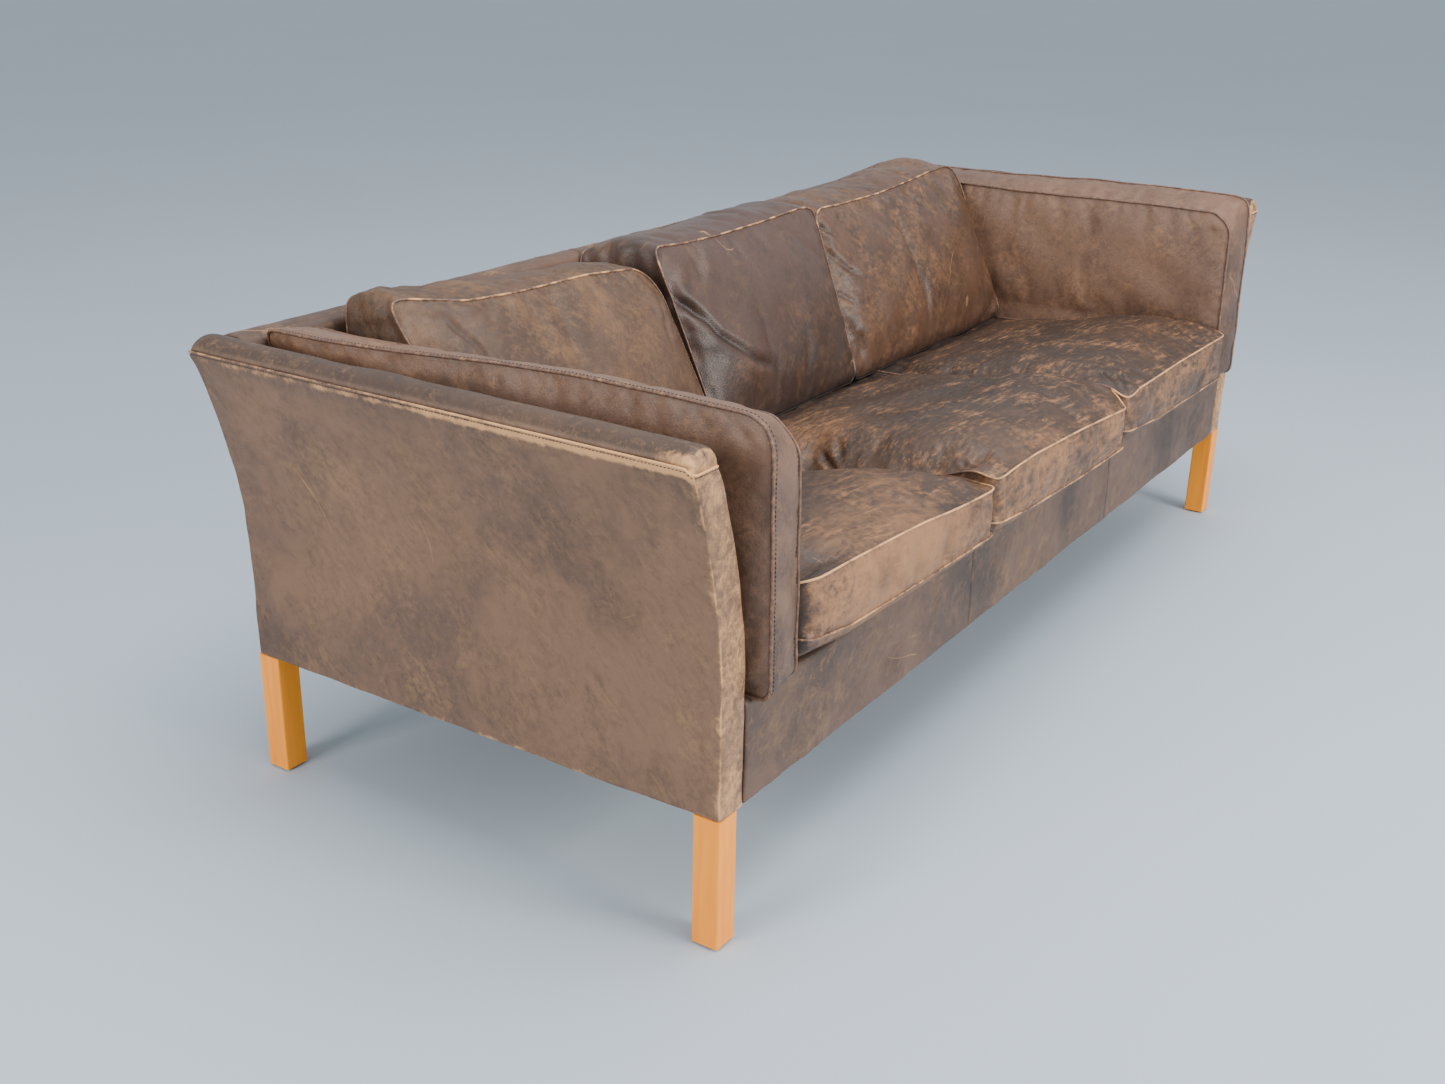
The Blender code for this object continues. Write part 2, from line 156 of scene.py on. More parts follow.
def plain(name, noise, first, second, roughness, bump=()):
    """A finish of two mottled colours."""
    f = Finish(name)
    speck = f.noise(*noise)
    f.set(base_color=f.mix(speck, colour(*first), colour(*second)), roughness=roughness)
    if bump:
        f.bump(speck, *bump)
    return f


PALE = colour(214, 160, 108)
SMUDGE_AND_SHADE = colour(46, 36, 31)
PAINTED_CREASE_SHADE = colour(26, 19, 16)


def leather(name, brown, deep, tan, rough, mottle, streak, seed, way, turn=(0, 0, 0)):
    """Old leather: clouds of two browns, tan rubbing, smudges and painted shade, pale wear, scratches and
    fine grain, and painted shade in folds, seams and crevices.
    """
    f = Finish(name)
    brown, deep, tan = colour(*brown), colour(*deep), colour(*tan)
    shift = (seed, seed * 0.7, seed * 1.3)
    cloud = f.noise(3.6, 4, 0.55, f.at(shift=shift), 0.5)
    patch = f.noise(12.0, 6, 0.66, f.at(shift=shift), 0.7)
    speck = f.noise(90.0, 10, 0.76, f.at(shift=shift), 0.4)
    brushed = f.noise(34.0, 9, 0.74, f.at([side ** 0.7 for side in way], shift, turn), 1.0)
    hair = f.noise(110.0, 8, 0.72, f.at([side ** 1.6 for side in way], shift, turn), 0.9)
    skin = f.mix(f.band(cloud + (patch - 0.5) * 0.7, 0.36, 0.64), brown, deep)
    skin = f.mix(f.band(patch + (brushed - 0.5) * 0.9, 0.46, 0.76) * 0.40, skin, tan)
    rub = f.painted("tan") + (brushed - 0.5) * 2.0 + (speck - 0.5) * 1.4
    skin = f.mix(f.band(rub, 0.15, 1.1) * 0.8, skin, tan)
    # Grime, together with painted shade on undersides, seat tops and the rail's top under the cushions.
    soil = f.painted("soil") + (patch - 0.5) * 1.2 + (speck - 0.5) * 0.6
    skin = f.mix(f.band(soil, 0.15, 1.05) * 0.72, skin, SMUDGE_AND_SHADE)
    skin = f.mix(f.band(speck + (patch - 0.5) * 0.6, 0.50, 0.66) * mottle, skin, tan)
    skin = f.mix(f.band(speck - (patch - 0.5) * 0.5, 0.52, 0.36) * mottle, skin, SMUDGE_AND_SHADE)
    skin = f.mix(f.band(hair + (patch - 0.5) * 0.5, 0.54, 0.66) * streak, skin, tan)
    skin = f.mix(f.band(hair + (cloud - 0.5) * 0.4, 0.45, 0.34) * streak * 0.5, skin, SMUDGE_AND_SHADE)
    line = f.noise(2.6, 2, 0.5, f.at(shift=shift), 0.9) - 0.5
    close = 0.0016 - line.math("ABSOLUTE", line, 0.0)
    scratch = f.band(close, 0.0, 0.0010) * f.band(f.noise(6.0, 2), 0.58, 0.68)
    skin = f.mix(scratch * 0.45, skin, PALE)
    wear = f.painted("wear") + (speck - 0.5) * 1.2 + (brushed - 0.5) * 1.3
    worn = f.band(wear, 0.30, 1.0)
    skin = f.mix(worn * 0.85, skin, PALE)
    # Painted shade in creases, seam valleys and crevices, from the fold values.
    skin = f.mix(f.painted("fold") * 0.75, skin, PAINTED_CREASE_SHADE)
    f.set(base_color=skin, roughness=rough + f.band(patch, 0.35, 0.75) * 0.12 + worn * 0.14)
    grain = f.cells(620.0)
    wrinkle = f.noise(150.0, 5, 0.6, f.at((1.0, 1.6, 1.0)), 0.8)
    f.bump(grain * 0.35 + wrinkle * 0.9 + speck * 1.0, 0.0011, 0.6)
    f.shader.inputs["Specular IOR Level"].default_value = 0.42
    return f.material


PANEL_LEATHER = leather(
    "panel_leather", (120, 89, 67), (94, 71, 57), (140, 105, 75), rough=0.50, mottle=0.20,
    streak=0.32, seed=0.0, way=(1.0, 1.0, 0.45), turn=(0.65, 0, 0)
)


def spaced(length, step, marks=(), ends=()):
    """Places from 0 to 1 along a side: one every step, extra ones at marks and near both ends, in metres."""
    places = list(np.linspace(0, 1, max(2, round(length / step)) + 1))
    extra = [m / length for m in marks] + [e / length for e in ends] + [1 - e / length for e in ends]
    places = [p for p in places if all(abs(p - e) > 0.0012 / length for e in extra) or p in (0.0, 1.0)]
    return np.array(sorted(set(places + extra)))


def box_grid(first, second, third):
    """The skin of a box cut at the given places: its points' three shares, quads and a table of points."""
    counts = (len(first), len(second), len(third))
    i, j, k = np.indices(counts)
    skin = np.zeros(counts, bool)
    for index, count in zip((i, j, k), counts):
        skin |= (index == 0) | (index == count - 1)
    table = -np.ones(counts, int)
    table[skin] = np.arange(skin.sum())
    points = np.stack([first[i[skin]], second[j[skin]], third[k[skin]]], axis=1)
    quads = []
    for axis in range(3):
        for end in (0, -1):
            side = np.take(table, end, axis=axis)
            low, high = side[:-1], side[1:]
            quad = np.stack([low[:, :-1], high[:, :-1], high[:, 1:], low[:, 1:]], axis=-1).reshape(-1, 4)
            quads.append(quad[:, ::-1] if (end == 0) != (axis == 1) else quad)
    return points.T, np.concatenate(quads), table


def rounded(a, b, half_a, half_b, radius):
    """Pull the corners of a rectangle about zero in to a radius, which may differ from point to point."""
    over_a = np.abs(a) - (half_a - radius)
    over_b = np.abs(b) - (half_b - radius)
    corner = (over_a > 0) & (over_b > 0)
    keep = np.maximum(over_a, over_b) / np.maximum(np.hypot(over_a, over_b), 1e-9)
    new_a = np.where(corner, np.sign(a) * (half_a - radius + over_a * keep), a)
    new_b = np.where(corner, np.sign(b) * (half_b - radius + over_b * keep), b)
    return new_a, new_b


def smooth(value, low, high):
    """0 below low, 1 above high, and smooth between them."""
    part = np.clip((value - low) / (high - low), 0, 1)
    return part * part * (3 - 2 * part)


def fading(away, width):
    """1 where away is zero, fading to nothing over about twice the width."""
    return np.exp(-(away / width) ** 2)


def ripple(points, size, seed, stretch=(1, 1, 1)):
    """A soft random field from about -1 to 1, with bumps of about that size in metres."""
    random = np.random.default_rng(seed)
    total = np.zeros(len(points))
    for _ in range(9):
        way = random.normal(size=3)
        way = way / np.linalg.norm(way) * np.array(stretch)
        turn = 2 * math.pi / size * random.uniform(0.6, 1.5)
        total += np.cos(points @ way * turn + random.uniform(0, 6.28))
    return total / 4.0


def spots(points, marks):
    """Soft round marks: each has a centre and a radius in centimetres, and an amount in hundredths."""
    total = np.zeros(len(points))
    for x, y, z, radius, amount in np.array(marks) / 100:
        away = np.sum((points - (x, y, z)) ** 2, axis=1)
        total += amount * np.exp(-away / radius ** 2)
    return total


def to_mesh(name, points, quads):
    """A mesh whose faces point outwards."""
    corners = points[quads]
    volume = np.einsum("ij,ij->", corners[:, 0], np.cross(corners[:, 1], corners[:, 2]))
    volume += np.einsum("ij,ij->", corners[:, 0], np.cross(corners[:, 2], corners[:, 3]))
    mesh = bpy.data.meshes.new(name)
    mesh.from_pydata(points.tolist(), [], (quads if volume > 0 else quads[:, ::-1]).tolist())
    return mesh


def points_of(mesh):
    """The mesh's points as an array."""
    flat = np.empty(len(mesh.vertices) * 3)
    mesh.vertices.foreach_get("co", flat)
    return flat.reshape(-1, 3)


def normals_of(mesh):
    """The mesh's point normals as an array."""
    flat = np.empty(len(mesh.vertices) * 3, np.float32)
    mesh.vertex_normals.foreach_get("vector", flat)
    return flat.reshape(-1, 3).astype(float)


def move_points(mesh, points):
    """Give a mesh new places for its points."""
    mesh.vertices.foreach_set("co", points.ravel())
    mesh.update()


def paint(mesh, **layers):
    """Keep values on a mesh's points, for its material to read: grime with painted shade, tan, wear, and
    painted shade in folds.
    """
    for name in ("soil", "tan", "wear", "fold"):
        values = np.zeros(len(mesh.vertices)) + layers.get(name, 0.0)
        kept = mesh.attributes.new(name, "FLOAT", "POINT")
        kept.data.foreach_set("value", values.astype(np.float32))


def add_object(name, data):
    """A new object in the scene."""
    made = bpy.data.objects.new(name, data)
    bpy.context.scene.collection.objects.link(made)
    return made


def finished(holder):
    """The holder's mesh with its modifiers applied, as a new mesh. The holder goes."""
    graph = bpy.context.evaluated_depsgraph_get()
    made = bpy.data.meshes.new_from_object(holder.evaluated_get(graph))
    holder.modifiers.clear()
    bpy.data.objects.remove(holder)
    return made


def finer(name, mesh, levels=1, seams=()):
    """The mesh after subdivision, as a new mesh. Edges along the seam loops stay sharper."""
    if len(seams):
        sharp = set()
        for loop in seams:
            sharp |= {frozenset(pair) for pair in zip(loop.tolist(), np.roll(loop, -1).tolist())}
        crease = mesh.attributes.new("crease_edge", "FLOAT", "EDGE")
        crease.data.foreach_set("value", [0.7 * (frozenset(e.vertices) in sharp) for e in mesh.edges])
    holder = add_object(name, mesh)
    rounding = holder.modifiers.new("rounding", "SUBSURF")
    rounding.levels = levels
    rounding.render_levels = levels
    return finished(holder)


def piece_of(name, mesh, material, replaces=()):
    """Show a finished mesh as one piece of the sofa."""
    mesh.materials.clear()
    mesh.materials.append(material)
    mesh.polygons.foreach_set("use_smooth", [True] * len(mesh.polygons))
    piece = add_object(name, mesh)
    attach(piece, "root")
    if replaces:
        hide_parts(*replaces)
    return piece


def flare(height):
    """How far a panel leans out at a height."""
    part = np.clip((height - FLARE_START) / (PANEL_SEAM - FLARE_START), 0, 1)
    return FLARE_OUT * part ** FLARE_POWER


def nodes_mesh(path, tree_maker, material, sizes):
    """Run a Geometry Nodes tree on a path and return the result as a plain mesh."""
    tree, keys = tree_maker(material)
    holder = add_object("path", path)
    modifier = holder.modifiers.new("work", "NODES")
    modifier.node_group = tree
    for key, size in sizes.items():
        modifier[keys[key]] = size
    return finished(holder)


def path_tree(name, material, sizes, steps):
    """Geometry Nodes that make a curve of a path, take the steps and dye the last one, which is "shape".

    Each step has a name, a kind, settings and inputs, where a tuple names another node's output. Returns
    the tree and the identifiers of its sizes.
    """
    tree = bpy.data.node_groups.new(name, "GeometryNodeTree")
    face = tree.interface
    face.new_socket("Geometry", in_out="INPUT", socket_type="NodeSocketGeometry")
    keys = {}
    for size, value in sizes.items():
        socket = face.new_socket(size, in_out="INPUT", socket_type="NodeSocketFloat")
        socket.default_value = value
        keys[size] = socket.identifier
    face.new_socket("Geometry", in_out="OUTPUT", socket_type="NodeSocketGeometry")
    made = {"in": tree.nodes.new("NodeGroupInput")}
    first = [("line", "GeometryNodeMeshToCurve", {}, {"Mesh": ("in", "Geometry")})]
    last = [
        ("real", "GeometryNodeRealizeInstances", {}, {"Geometry": ("shape", 0)}),
        ("dyed", "GeometryNodeSetMaterial", {}, {"Geometry": ("real", 0), "Material": material}),
        ("out", "NodeGroupOutput", {}, {"Geometry": ("dyed", 0)}),
    ]
    for step, kind, settings, inputs in first + steps + last:
        node = made[step] = tree.nodes.new(kind)
        for key, value in settings.items():
            setattr(node, key, value)
        for key, value in inputs.items():
            if isinstance(value, tuple) and isinstance(value[0], str):
                tree.links.new(made[value[0]].outputs[value[1]], node.inputs[key])
            else:
                node.inputs[key].default_value = value
    return tree, keys


def stitch_tree(material):
    """Short round threads laid end to end along a path, a pitch apart."""
    return path_tree("stitches", material, {"Pitch": 0.006, "Length": 0.004, "Thread": 0.0006}, [
        ("dots", "GeometryNodeCurveToPoints", {"mode": "LENGTH"},
         {"Curve": ("line", 0), "Length": ("in", "Pitch")}),
        ("half", "ShaderNodeMath", {"operation": "MULTIPLY"}, {0: ("in", "Length"), 1: 0.5}),
        ("size", "ShaderNodeCombineXYZ", {}, {0: ("in", "Thread"), 1: ("in", "Thread"), 2: ("half", 0)}),
        ("bead", "GeometryNodeMeshUVSphere", {}, {"Segments": 6, "Rings": 4, "Radius": 1.0}),
        ("thread", "GeometryNodeTransform", {}, {"Geometry": ("bead", 0), "Scale": ("size", 0)}),
        ("shape", "GeometryNodeInstanceOnPoints", {},
         {"Points": ("dots", 0), "Instance": ("thread", 0), "Rotation": ("dots", "Rotation")}),
    ])


def welt_tree(material):
    """A thin round cord of leather along a path."""
    return path_tree("welts", material, {"Radius": 0.0022}, [
        ("ring", "GeometryNodeCurvePrimitiveCircle", {}, {"Resolution": 8, "Radius": ("in", "Radius")}),
        ("shape", "GeometryNodeCurveToMesh", {},
         {"Curve": ("line", 0), "Profile Curve": ("ring", 0), "Fill Caps": True}),
    ])


def path_mesh(lines, closed, wear):
    """One edge path for each line of points, with its wear kept on the points."""
    points, edges, worn = [], [], []
    for index, line in enumerate(lines):
        start = len(points)
        points += [tuple(p) for p in line]
        edges += [(start + n, start + n + 1) for n in range(len(line) - 1)]
        if closed:
            edges.append((start + len(line) - 1, start))
        amount = wear[index] if isinstance(wear, list) else wear
        worn += list(np.zeros(len(line)) + amount)
    mesh = bpy.data.meshes.new("path")
    mesh.from_pydata(points, edges, [])
    kept = mesh.attributes.new("wear", "FLOAT", "POINT")
    kept.data.foreach_set("value", np.array(worn, np.float32))
    return mesh


def trim(name, lines, closed, tree_maker, material, sizes, wear=0.0):
    """Sew a cord or a row of stitches along lines of points, as one piece of the sofa."""
    made = nodes_mesh(path_mesh(lines, closed, wear), tree_maker, material, sizes)
    return piece_of(name, made, material)


def welt_finish(name, dark):
    """The leather of the welts: dark where it is whole, cream where the dye has rubbed off, and painted shade
    where the wear value is below zero.
    """
    f = Finish(name)
    speck = f.noise(120.0, 6, 0.7)
    long = f.noise(16.0, 5, 0.65)
    worn = f.band(f.painted("wear") + (speck - 0.5) * 1.0 + (long - 0.5) * 0.9, 0.25, 0.85)
    skin = f.mix(f.band(speck, 0.35, 0.7), dark, colour(126, 92, 70))
    # A wear value below zero paints shade on welts that lie in crevices.
    skin = f.mix(f.band(f.painted("wear"), -0.5, 0.0), PAINTED_CREASE_SHADE, skin)
    f.set(base_color=f.mix(worn, skin, PALE), roughness=0.5 + worn * 0.15)
    f.bump(speck, 0.0006, 0.5)
    return f.material


WELT = welt_finish("welt_leather", colour(84, 62, 52))
THREAD = plain("dark_thread", [300.0], (38, 28, 23), (66, 48, 39), 0.8)

PANEL_DEPTH = REAR - FRONT
panel_y = spaced(PANEL_DEPTH, 0.0105, (), (0.0015, 0.004, 0.0065))
panel_z = spaced(PANEL_SEAM - FRAME_LOW, 0.0095, (), (0.0015, 0.005))
panel_t = spaced(PANEL_THICK, 0.0055, (), (0.0015,))
PANEL_MARKS = [
    (-102, -17, 52, 8, 42), (-100, -26, 43, 7, 38), (-100, -17, 36, 7, 32), (-100, -5, 25, 8, 30),
    (-100, 40, 22, 7, 60), (-104, -27, 63, 5, 50), (-100, -30, 25, 5, 35), (-104, 5, 62, 5, 25),
    (-100, 2, 42, 5, 20),
]
PANEL_TAN = [
    (-102, 20, 52, 5, 70), (-100, 16, 42, 7, 40), (-104, -10, 60, 10, 45), (-100, 10, 24, 5, 50),
    (-100, -36, 30, 5, 40), (-103, -34, 55, 5, 40),
]

for word, side in (("left", -1), ("right", 1)):
    (p, q, t), quads, _ = box_grid(panel_y, panel_z, panel_t)
    on_top = q > 0.9999
    z = FRAME_LOW + q * (PANEL_SEAM - FRAME_LOW)
    across = np.where(on_top, (1 - np.cos(math.pi * t)) / 2, t)
    along, through = rounded(
        (p - 0.5) * PANEL_DEPTH, (across - 0.5) * PANEL_THICK, PANEL_DEPTH / 2, PANEL_THICK / 2, 0.006
    )
    y = (FRONT + REAR) / 2 + along
    x = 1 - PANEL_THICK / 2 + flare(z) + through
    z = z + np.where(on_top, CAP_RISE * np.sin(math.pi * t), 0.0)
    from_end = np.minimum(y - FRONT, REAR - y)
    corner_drop = CAP_CORNER * np.clip(1 - from_end / CAP_CORNER, 0, 1) ** 2
    z = z - corner_drop * smooth(z, PANEL_SEAM - 0.03, PANEL_SEAM + 0.004)
    start = np.stack([side * x, y, z], axis=1)
    mesh = finer("panel", to_mesh("panel", start, quads))
    points, normals = points_of(mesh), normals_of(mesh)
    outer = smooth(side * normals[:, 0], 0.3, 0.8)
    front = smooth(-normals[:, 1], 0.3, 0.8)
    sunk = -0.0012 * fading(points[:, 2] - 0.668, 0.0035) * outer
    lumpy = 0.0009 * ripple(points, 0.16, 11) + 0.0004 * ripple(points, 0.05, 12)
    points = points + normals * (sunk + lumpy)[:, None]
    move_points(mesh, points)
    edge_y = points[:, 1] - FRONT
    height = points[:, 2]
    forward = smooth(0.30 - points[:, 1], 0.0, 0.6)
    rubbed = 0.46 + 0.62 * forward + 0.2 * ripple(points, 0.05, 7)
    band = fading(height - 0.6605, 0.0065) * outer * rubbed
    corner = outer * fading(edge_y, 0.012) * (0.45 + 0.35 * ripple(points, 0.05, 5))
    strip = front * (0.46 + 0.16 * ripple(points, 0.09, 6, (1, 1, 0.4)))
    lower = fading(height - FRAME_LOW, 0.006) * (0.30 + 0.35 * ripple(points, 0.05, 7))
    cap_corner = fading(edge_y, 0.05) * smooth(height, 0.652, 0.668) * 0.85 * outer
    roll = smooth(height, 0.676, 0.684) * 0.10
    mirrored = points * (-side, 1, 1)
    paint(
        mesh,
        wear=band + corner + strip + np.clip(lower, 0, 1) + cap_corner + roll,
        soil=spots(mirrored, PANEL_MARKS) + smooth(height, 0.672, 0.680) * 0.95,
        tan=spots(mirrored, PANEL_TAN) + front * 0.6,
        # Painted shade in the sunk seam under the cap.
        fold=0.6 * fading(height - 0.6705, 0.0022) * outer,
    )
    piece_of(f"panel_leather_{word}", mesh, PANEL_LEATHER, ["end_cover_" + word])
    rail_y = np.linspace(REAR - 0.004, FRONT + 0.010, 90)
    edge_x = 1 + FLARE_OUT
    drops = CAP_CORNER * np.clip(1 - (rail_y - FRONT) / CAP_CORNER, 0, 1) ** 2
    seam = [(side * (edge_x + 0.0002), y, CAP_SEAM_HIGH - drop) for y, drop in zip(rail_y, drops)]
    turn = [(side * (edge_x - 0.0025), FRONT + 0.0035, 0.6625)]
    turn += [(side * (edge_x - 0.008), FRONT - 0.0002, CAP_SEAM_CORNER)]
    across = np.linspace(edge_x - 0.014, edge_x - 0.049, 8)
    turn += [(side * x, FRONT - 0.0006, CAP_SEAM_CORNER) for x in across]
    line = np.array(seam + turn)
    worn = 0.35 + 0.5 * smooth(0.25 - line[:, 1], 0.0, 0.5)
    name, sizes = f"panel_cap_welt_{word}", {"Radius": 0.0016}
    trim(name, [line], False, welt_tree, WELT, sizes, [worn])
    line = line + (side * 0.0003, -0.0003, -0.0034)
    name, sizes = f"panel_cap_stitches_{word}", {"Pitch": 0.0052, "Length": 0.0036}
    trim(name, [line], False, stitch_tree, THREAD.material, sizes)

# The back is a low upright board in the same felt and leather, between the end panels.
# Its cover is joined from three lengths, by two upright seams that run over the rounded top.
BACK_LOW, BACK_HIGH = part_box("back_cover")
BACK_ROUND = 0.018
BACK_SEAMS = (-0.27, 0.27)
BACK_LEATHER = leather(
    "back_leather", (96, 71, 57), (76, 58, 49), (124, 92, 66), rough=0.50, mottle=0.14,
    streak=0.3, seed=3.7, way=(0.4, 1.0, 1.0)
)


def seam_marks(places, low):
    """Extra cuts on both sides of a sewn seam, so that its valley keeps its shape."""
    return [p - low + d for p in places for d in (-0.006, -0.0025, 0.0, 0.0025, 0.006)]


half_back = BACK_HIGH.x
back_x = spaced(2 * half_back, 0.0145, seam_marks(BACK_SEAMS, -half_back))
back_z = spaced(BACK_HIGH.z - FRAME_LOW, 0.0145, (), (0.003, 0.006, 0.009, 0.013, 0.018))
back_t = spaced(BACK_HIGH.y - BACK_LOW.y, 0.0065)
(p, q, t), quads, _ = box_grid(back_x, back_z, back_t)
z = FRAME_LOW + q * (BACK_HIGH.z - FRAME_LOW)
across = (t - 0.5) * (BACK_HIGH.y - BACK_LOW.y)
middle_z = (FRAME_LOW + BACK_HIGH.z) / 2
radius = np.where(z > middle_z, BACK_ROUND, 0.003)
across, up = rounded(
    across, z - middle_z, (BACK_HIGH.y - BACK_LOW.y) / 2, (BACK_HIGH.z - FRAME_LOW) / 2, radius
)
z = middle_z + up
reach = 1 - PANEL_THICK - 0.0005 + flare(z)
start = np.stack([(2 * p - 1) * reach, (BACK_LOW.y + BACK_HIGH.y) / 2 + across, z], axis=1)
mesh = finer("back", to_mesh("back", start, quads))
points, normals = points_of(mesh), normals_of(mesh)
seam_dip = np.zeros(len(points))
puff = np.zeros(len(points))
for place in BACK_SEAMS:
    away = np.abs(points[:, 0] - place)
    seam_dip += fading(away, 0.0022)
    puff += fading(away - 0.012, 0.009)
rear_face = smooth(normals[:, 1], 0.3, 0.9)
sag = 0.0016 * ripple(points, 0.22, 21, (1, 1, 0.6)) * rear_face + 0.0007 * ripple(points, 0.05, 22)
points = points + normals * (sag - 0.0016 * seam_dip + 0.0008 * puff)[:, None]
move_points(mesh, points)
top = smooth(points[:, 2], 0.655, 0.68)
paint(
    mesh,
    wear=top * (0.20 + 0.25 * ripple(points, 0.10, 23)) + seam_dip * 0.10,
    soil=top * 0.35 + 0.35 * np.clip(ripple(points, 0.25, 24), 0, 1),
    tan=0.45 * np.clip(ripple(points, 0.30, 25), 0, 1),
    # Painted shade in the seam valleys.
    fold=0.7 * seam_dip,
)
piece_of("back_leather", mesh, BACK_LEATHER, ["back_cover"])

# The front rail is a board in felt and leather, folded over its top under the seat cushions.
# Two upright seams join its three lengths, and knees and calves have darkened it in blotches.
RAIL_LOW, RAIL_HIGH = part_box("front_rail_cover")
RAIL_SEAMS = (-0.293, 0.293)
RAIL_LEATHER = leather(
    "rail_leather", (96, 71, 56), (74, 57, 47), (126, 94, 67), rough=0.50, mottle=0.16,
    streak=0.4, seed=6.1, way=(0.5, 1.0, 0.7), turn=(0, 0.6, 0)
)
RAIL_SOIL = [
    (-30, -40, 30, 7, 90), (-22, -40, 24, 5, 50), (10, -40, 29, 6, 90), (-55, -40, 22, 5, 50),
    (28, -40, 24, 5, 50), (62, -40, 28, 9, 80), (80, -40, 25, 6, 60), (-75, -40, 32, 5, 50),
]
rail_x = spaced(RAIL_HIGH.x - RAIL_LOW.x, 0.010, seam_marks(RAIL_SEAMS, RAIL_LOW.x))
rail_z = spaced(RAIL_HIGH.z - FRAME_LOW, 0.008, (), (0.003, 0.006))
rail_t = spaced(RAIL_HIGH.y - RAIL_LOW.y, 0.008, (), (0.003, 0.006))
(p, q, t), quads, _ = box_grid(rail_x, rail_z, rail_t)
half = (RAIL_HIGH - RAIL_LOW) / 2
radius = np.where(q > 0.5, 0.009, 0.003)
across, up = rounded((2 * t - 1) * half.y, (2 * q - 1) * half.z, half.y, half.z, radius)
start = np.stack([(2 * p - 1) * half.x, RAIL_LOW.y + half.y + across, RAIL_LOW.z + half.z + up], axis=1)
mesh = finer("rail", to_mesh("rail", start, quads))
points, normals = points_of(mesh), normals_of(mesh)
seam_dip = sum(fading(points[:, 0] - place, 0.0022) for place in RAIL_SEAMS)
face = smooth(-normals[:, 1], 0.3, 0.9)
lumpy = 0.0012 * ripple(points, 0.13, 31) * face + 0.0005 * ripple(points, 0.04, 32)
points = points + normals * (lumpy - 0.0015 * seam_dip)[:, None]
move_points(mesh, points)
paint(
    mesh,
    wear=0.35 * fading(points[:, 2] - FRAME_LOW, 0.005) * (0.6 + ripple(points, 0.06, 33)),
    # The rail's top under the seat cushions is painted in shade, and so are the seam valleys.
    soil=1.3 * spots(points, RAIL_SOIL) + smooth(points[:, 2], 0.325, 0.336) * 0.5,
    tan=0.5 * np.clip(ripple(points, 0.18, 34), 0, 1),
    fold=0.7 * seam_dip,
)
piece_of("rail_leather", mesh, RAIL_LEATHER, ["front_rail_cover"])

# The cushion covers are cut from panels and boxing strips, sewn with a welt in each seam.
# The two arm cushions are foam wrapped in wadding, and stand on edge between the end panels and the seat.
CELL = 0.013
SIM_FRAMES = 20
CLOTH = {
    "quality": 4, "mass": 0.3, "tension_stiffness": 15, "compression_stiffness": 15, "shear_stiffness": 5,
    "bending_stiffness": 0.6, "vertex_group_mass": "held", "use_pressure": True,
}
ARM_LEATHER = leather(
    "arm_leather", (116, 86, 68), (97, 73, 60), (144, 106, 78), rough=0.42, mottle=0.22,
    streak=0.26, seed=9.3, way=(1.0, 0.5, 0.8), turn=(0.5, 0, 0)
)


def loop_of(table, layer):
    """The point numbers round one face of a box grid, in order."""
    sheet = table[:, :, layer]
    runs = (sheet[:, 0], sheet[-1, 1:], sheet[-2::-1, -1], sheet[0, -2:0:-1])
    return np.concatenate(runs)


def fill_out(mesh, held, room, pressure, slack):
    """Swell a cover with Cloth under pressure. Held points stay, and no point moves further than its room."""
    start = points_of(mesh)
    holder = add_object("filling", mesh)
    group = holder.vertex_groups.new(name="held")
    group.add([int(n) for n in np.flatnonzero(held)], 1.0, "REPLACE")
    cloth = holder.modifiers.new("filling", "CLOTH")
    for key, value in CLOTH.items():
        setattr(cloth.settings, key, value)
    cloth.settings.uniform_pressure_force = pressure
    cloth.settings.shrink_min = -slack
    cloth.settings.effector_weights.gravity = 0
    cloth.collision_settings.use_collision = False
    cloth.point_cache.frame_end = SIM_FRAMES
    scene = bpy.context.scene
    for number in range(1, SIM_FRAMES + 1):
        scene.frame_set(number)
    graph = bpy.context.evaluated_depsgraph_get()
    swollen = points_of(holder.evaluated_get(graph).data)
    bpy.data.objects.remove(holder)
    scene.frame_set(1)
    moved = swollen - start
    length = np.maximum(np.linalg.norm(moved, axis=1), 1e-9)
    limit = np.maximum(room, 1e-6)
    return start + moved * (limit * np.tanh(length / limit) / length)[:, None]


def seams_of(table, count):
    """The two welted seam loops of a cover, and which points lie on them."""
    loops = [loop_of(table, 0), loop_of(table, -1)]
    edge = np.zeros(count, bool)
    edge[np.concatenate(loops)] = True
    return loops, edge


def nearest(points, line):
    """How far each point is from a line of close points."""
    away = np.full(len(points), 9.0)
    for block in np.array_split(np.arange(len(points)), max(1, len(points) // 4000)):
        gaps = points[block][:, None, :] - line[None, :, :]
        away[block] = np.sqrt(np.min(np.sum(gaps ** 2, axis=2), axis=1))
    return away


def dense(line, step=0.004):
    """A polyline cut into short steps."""
    line = np.array(line, float)
    made = [line[:1]]
    for a, b in zip(line[:-1], line[1:]):
        count = max(1, int(np.linalg.norm(b - a) / step))
        made.append(a + (b - a) * (np.arange(1, count + 1) / count)[:, None])
    return np.concatenate(made)


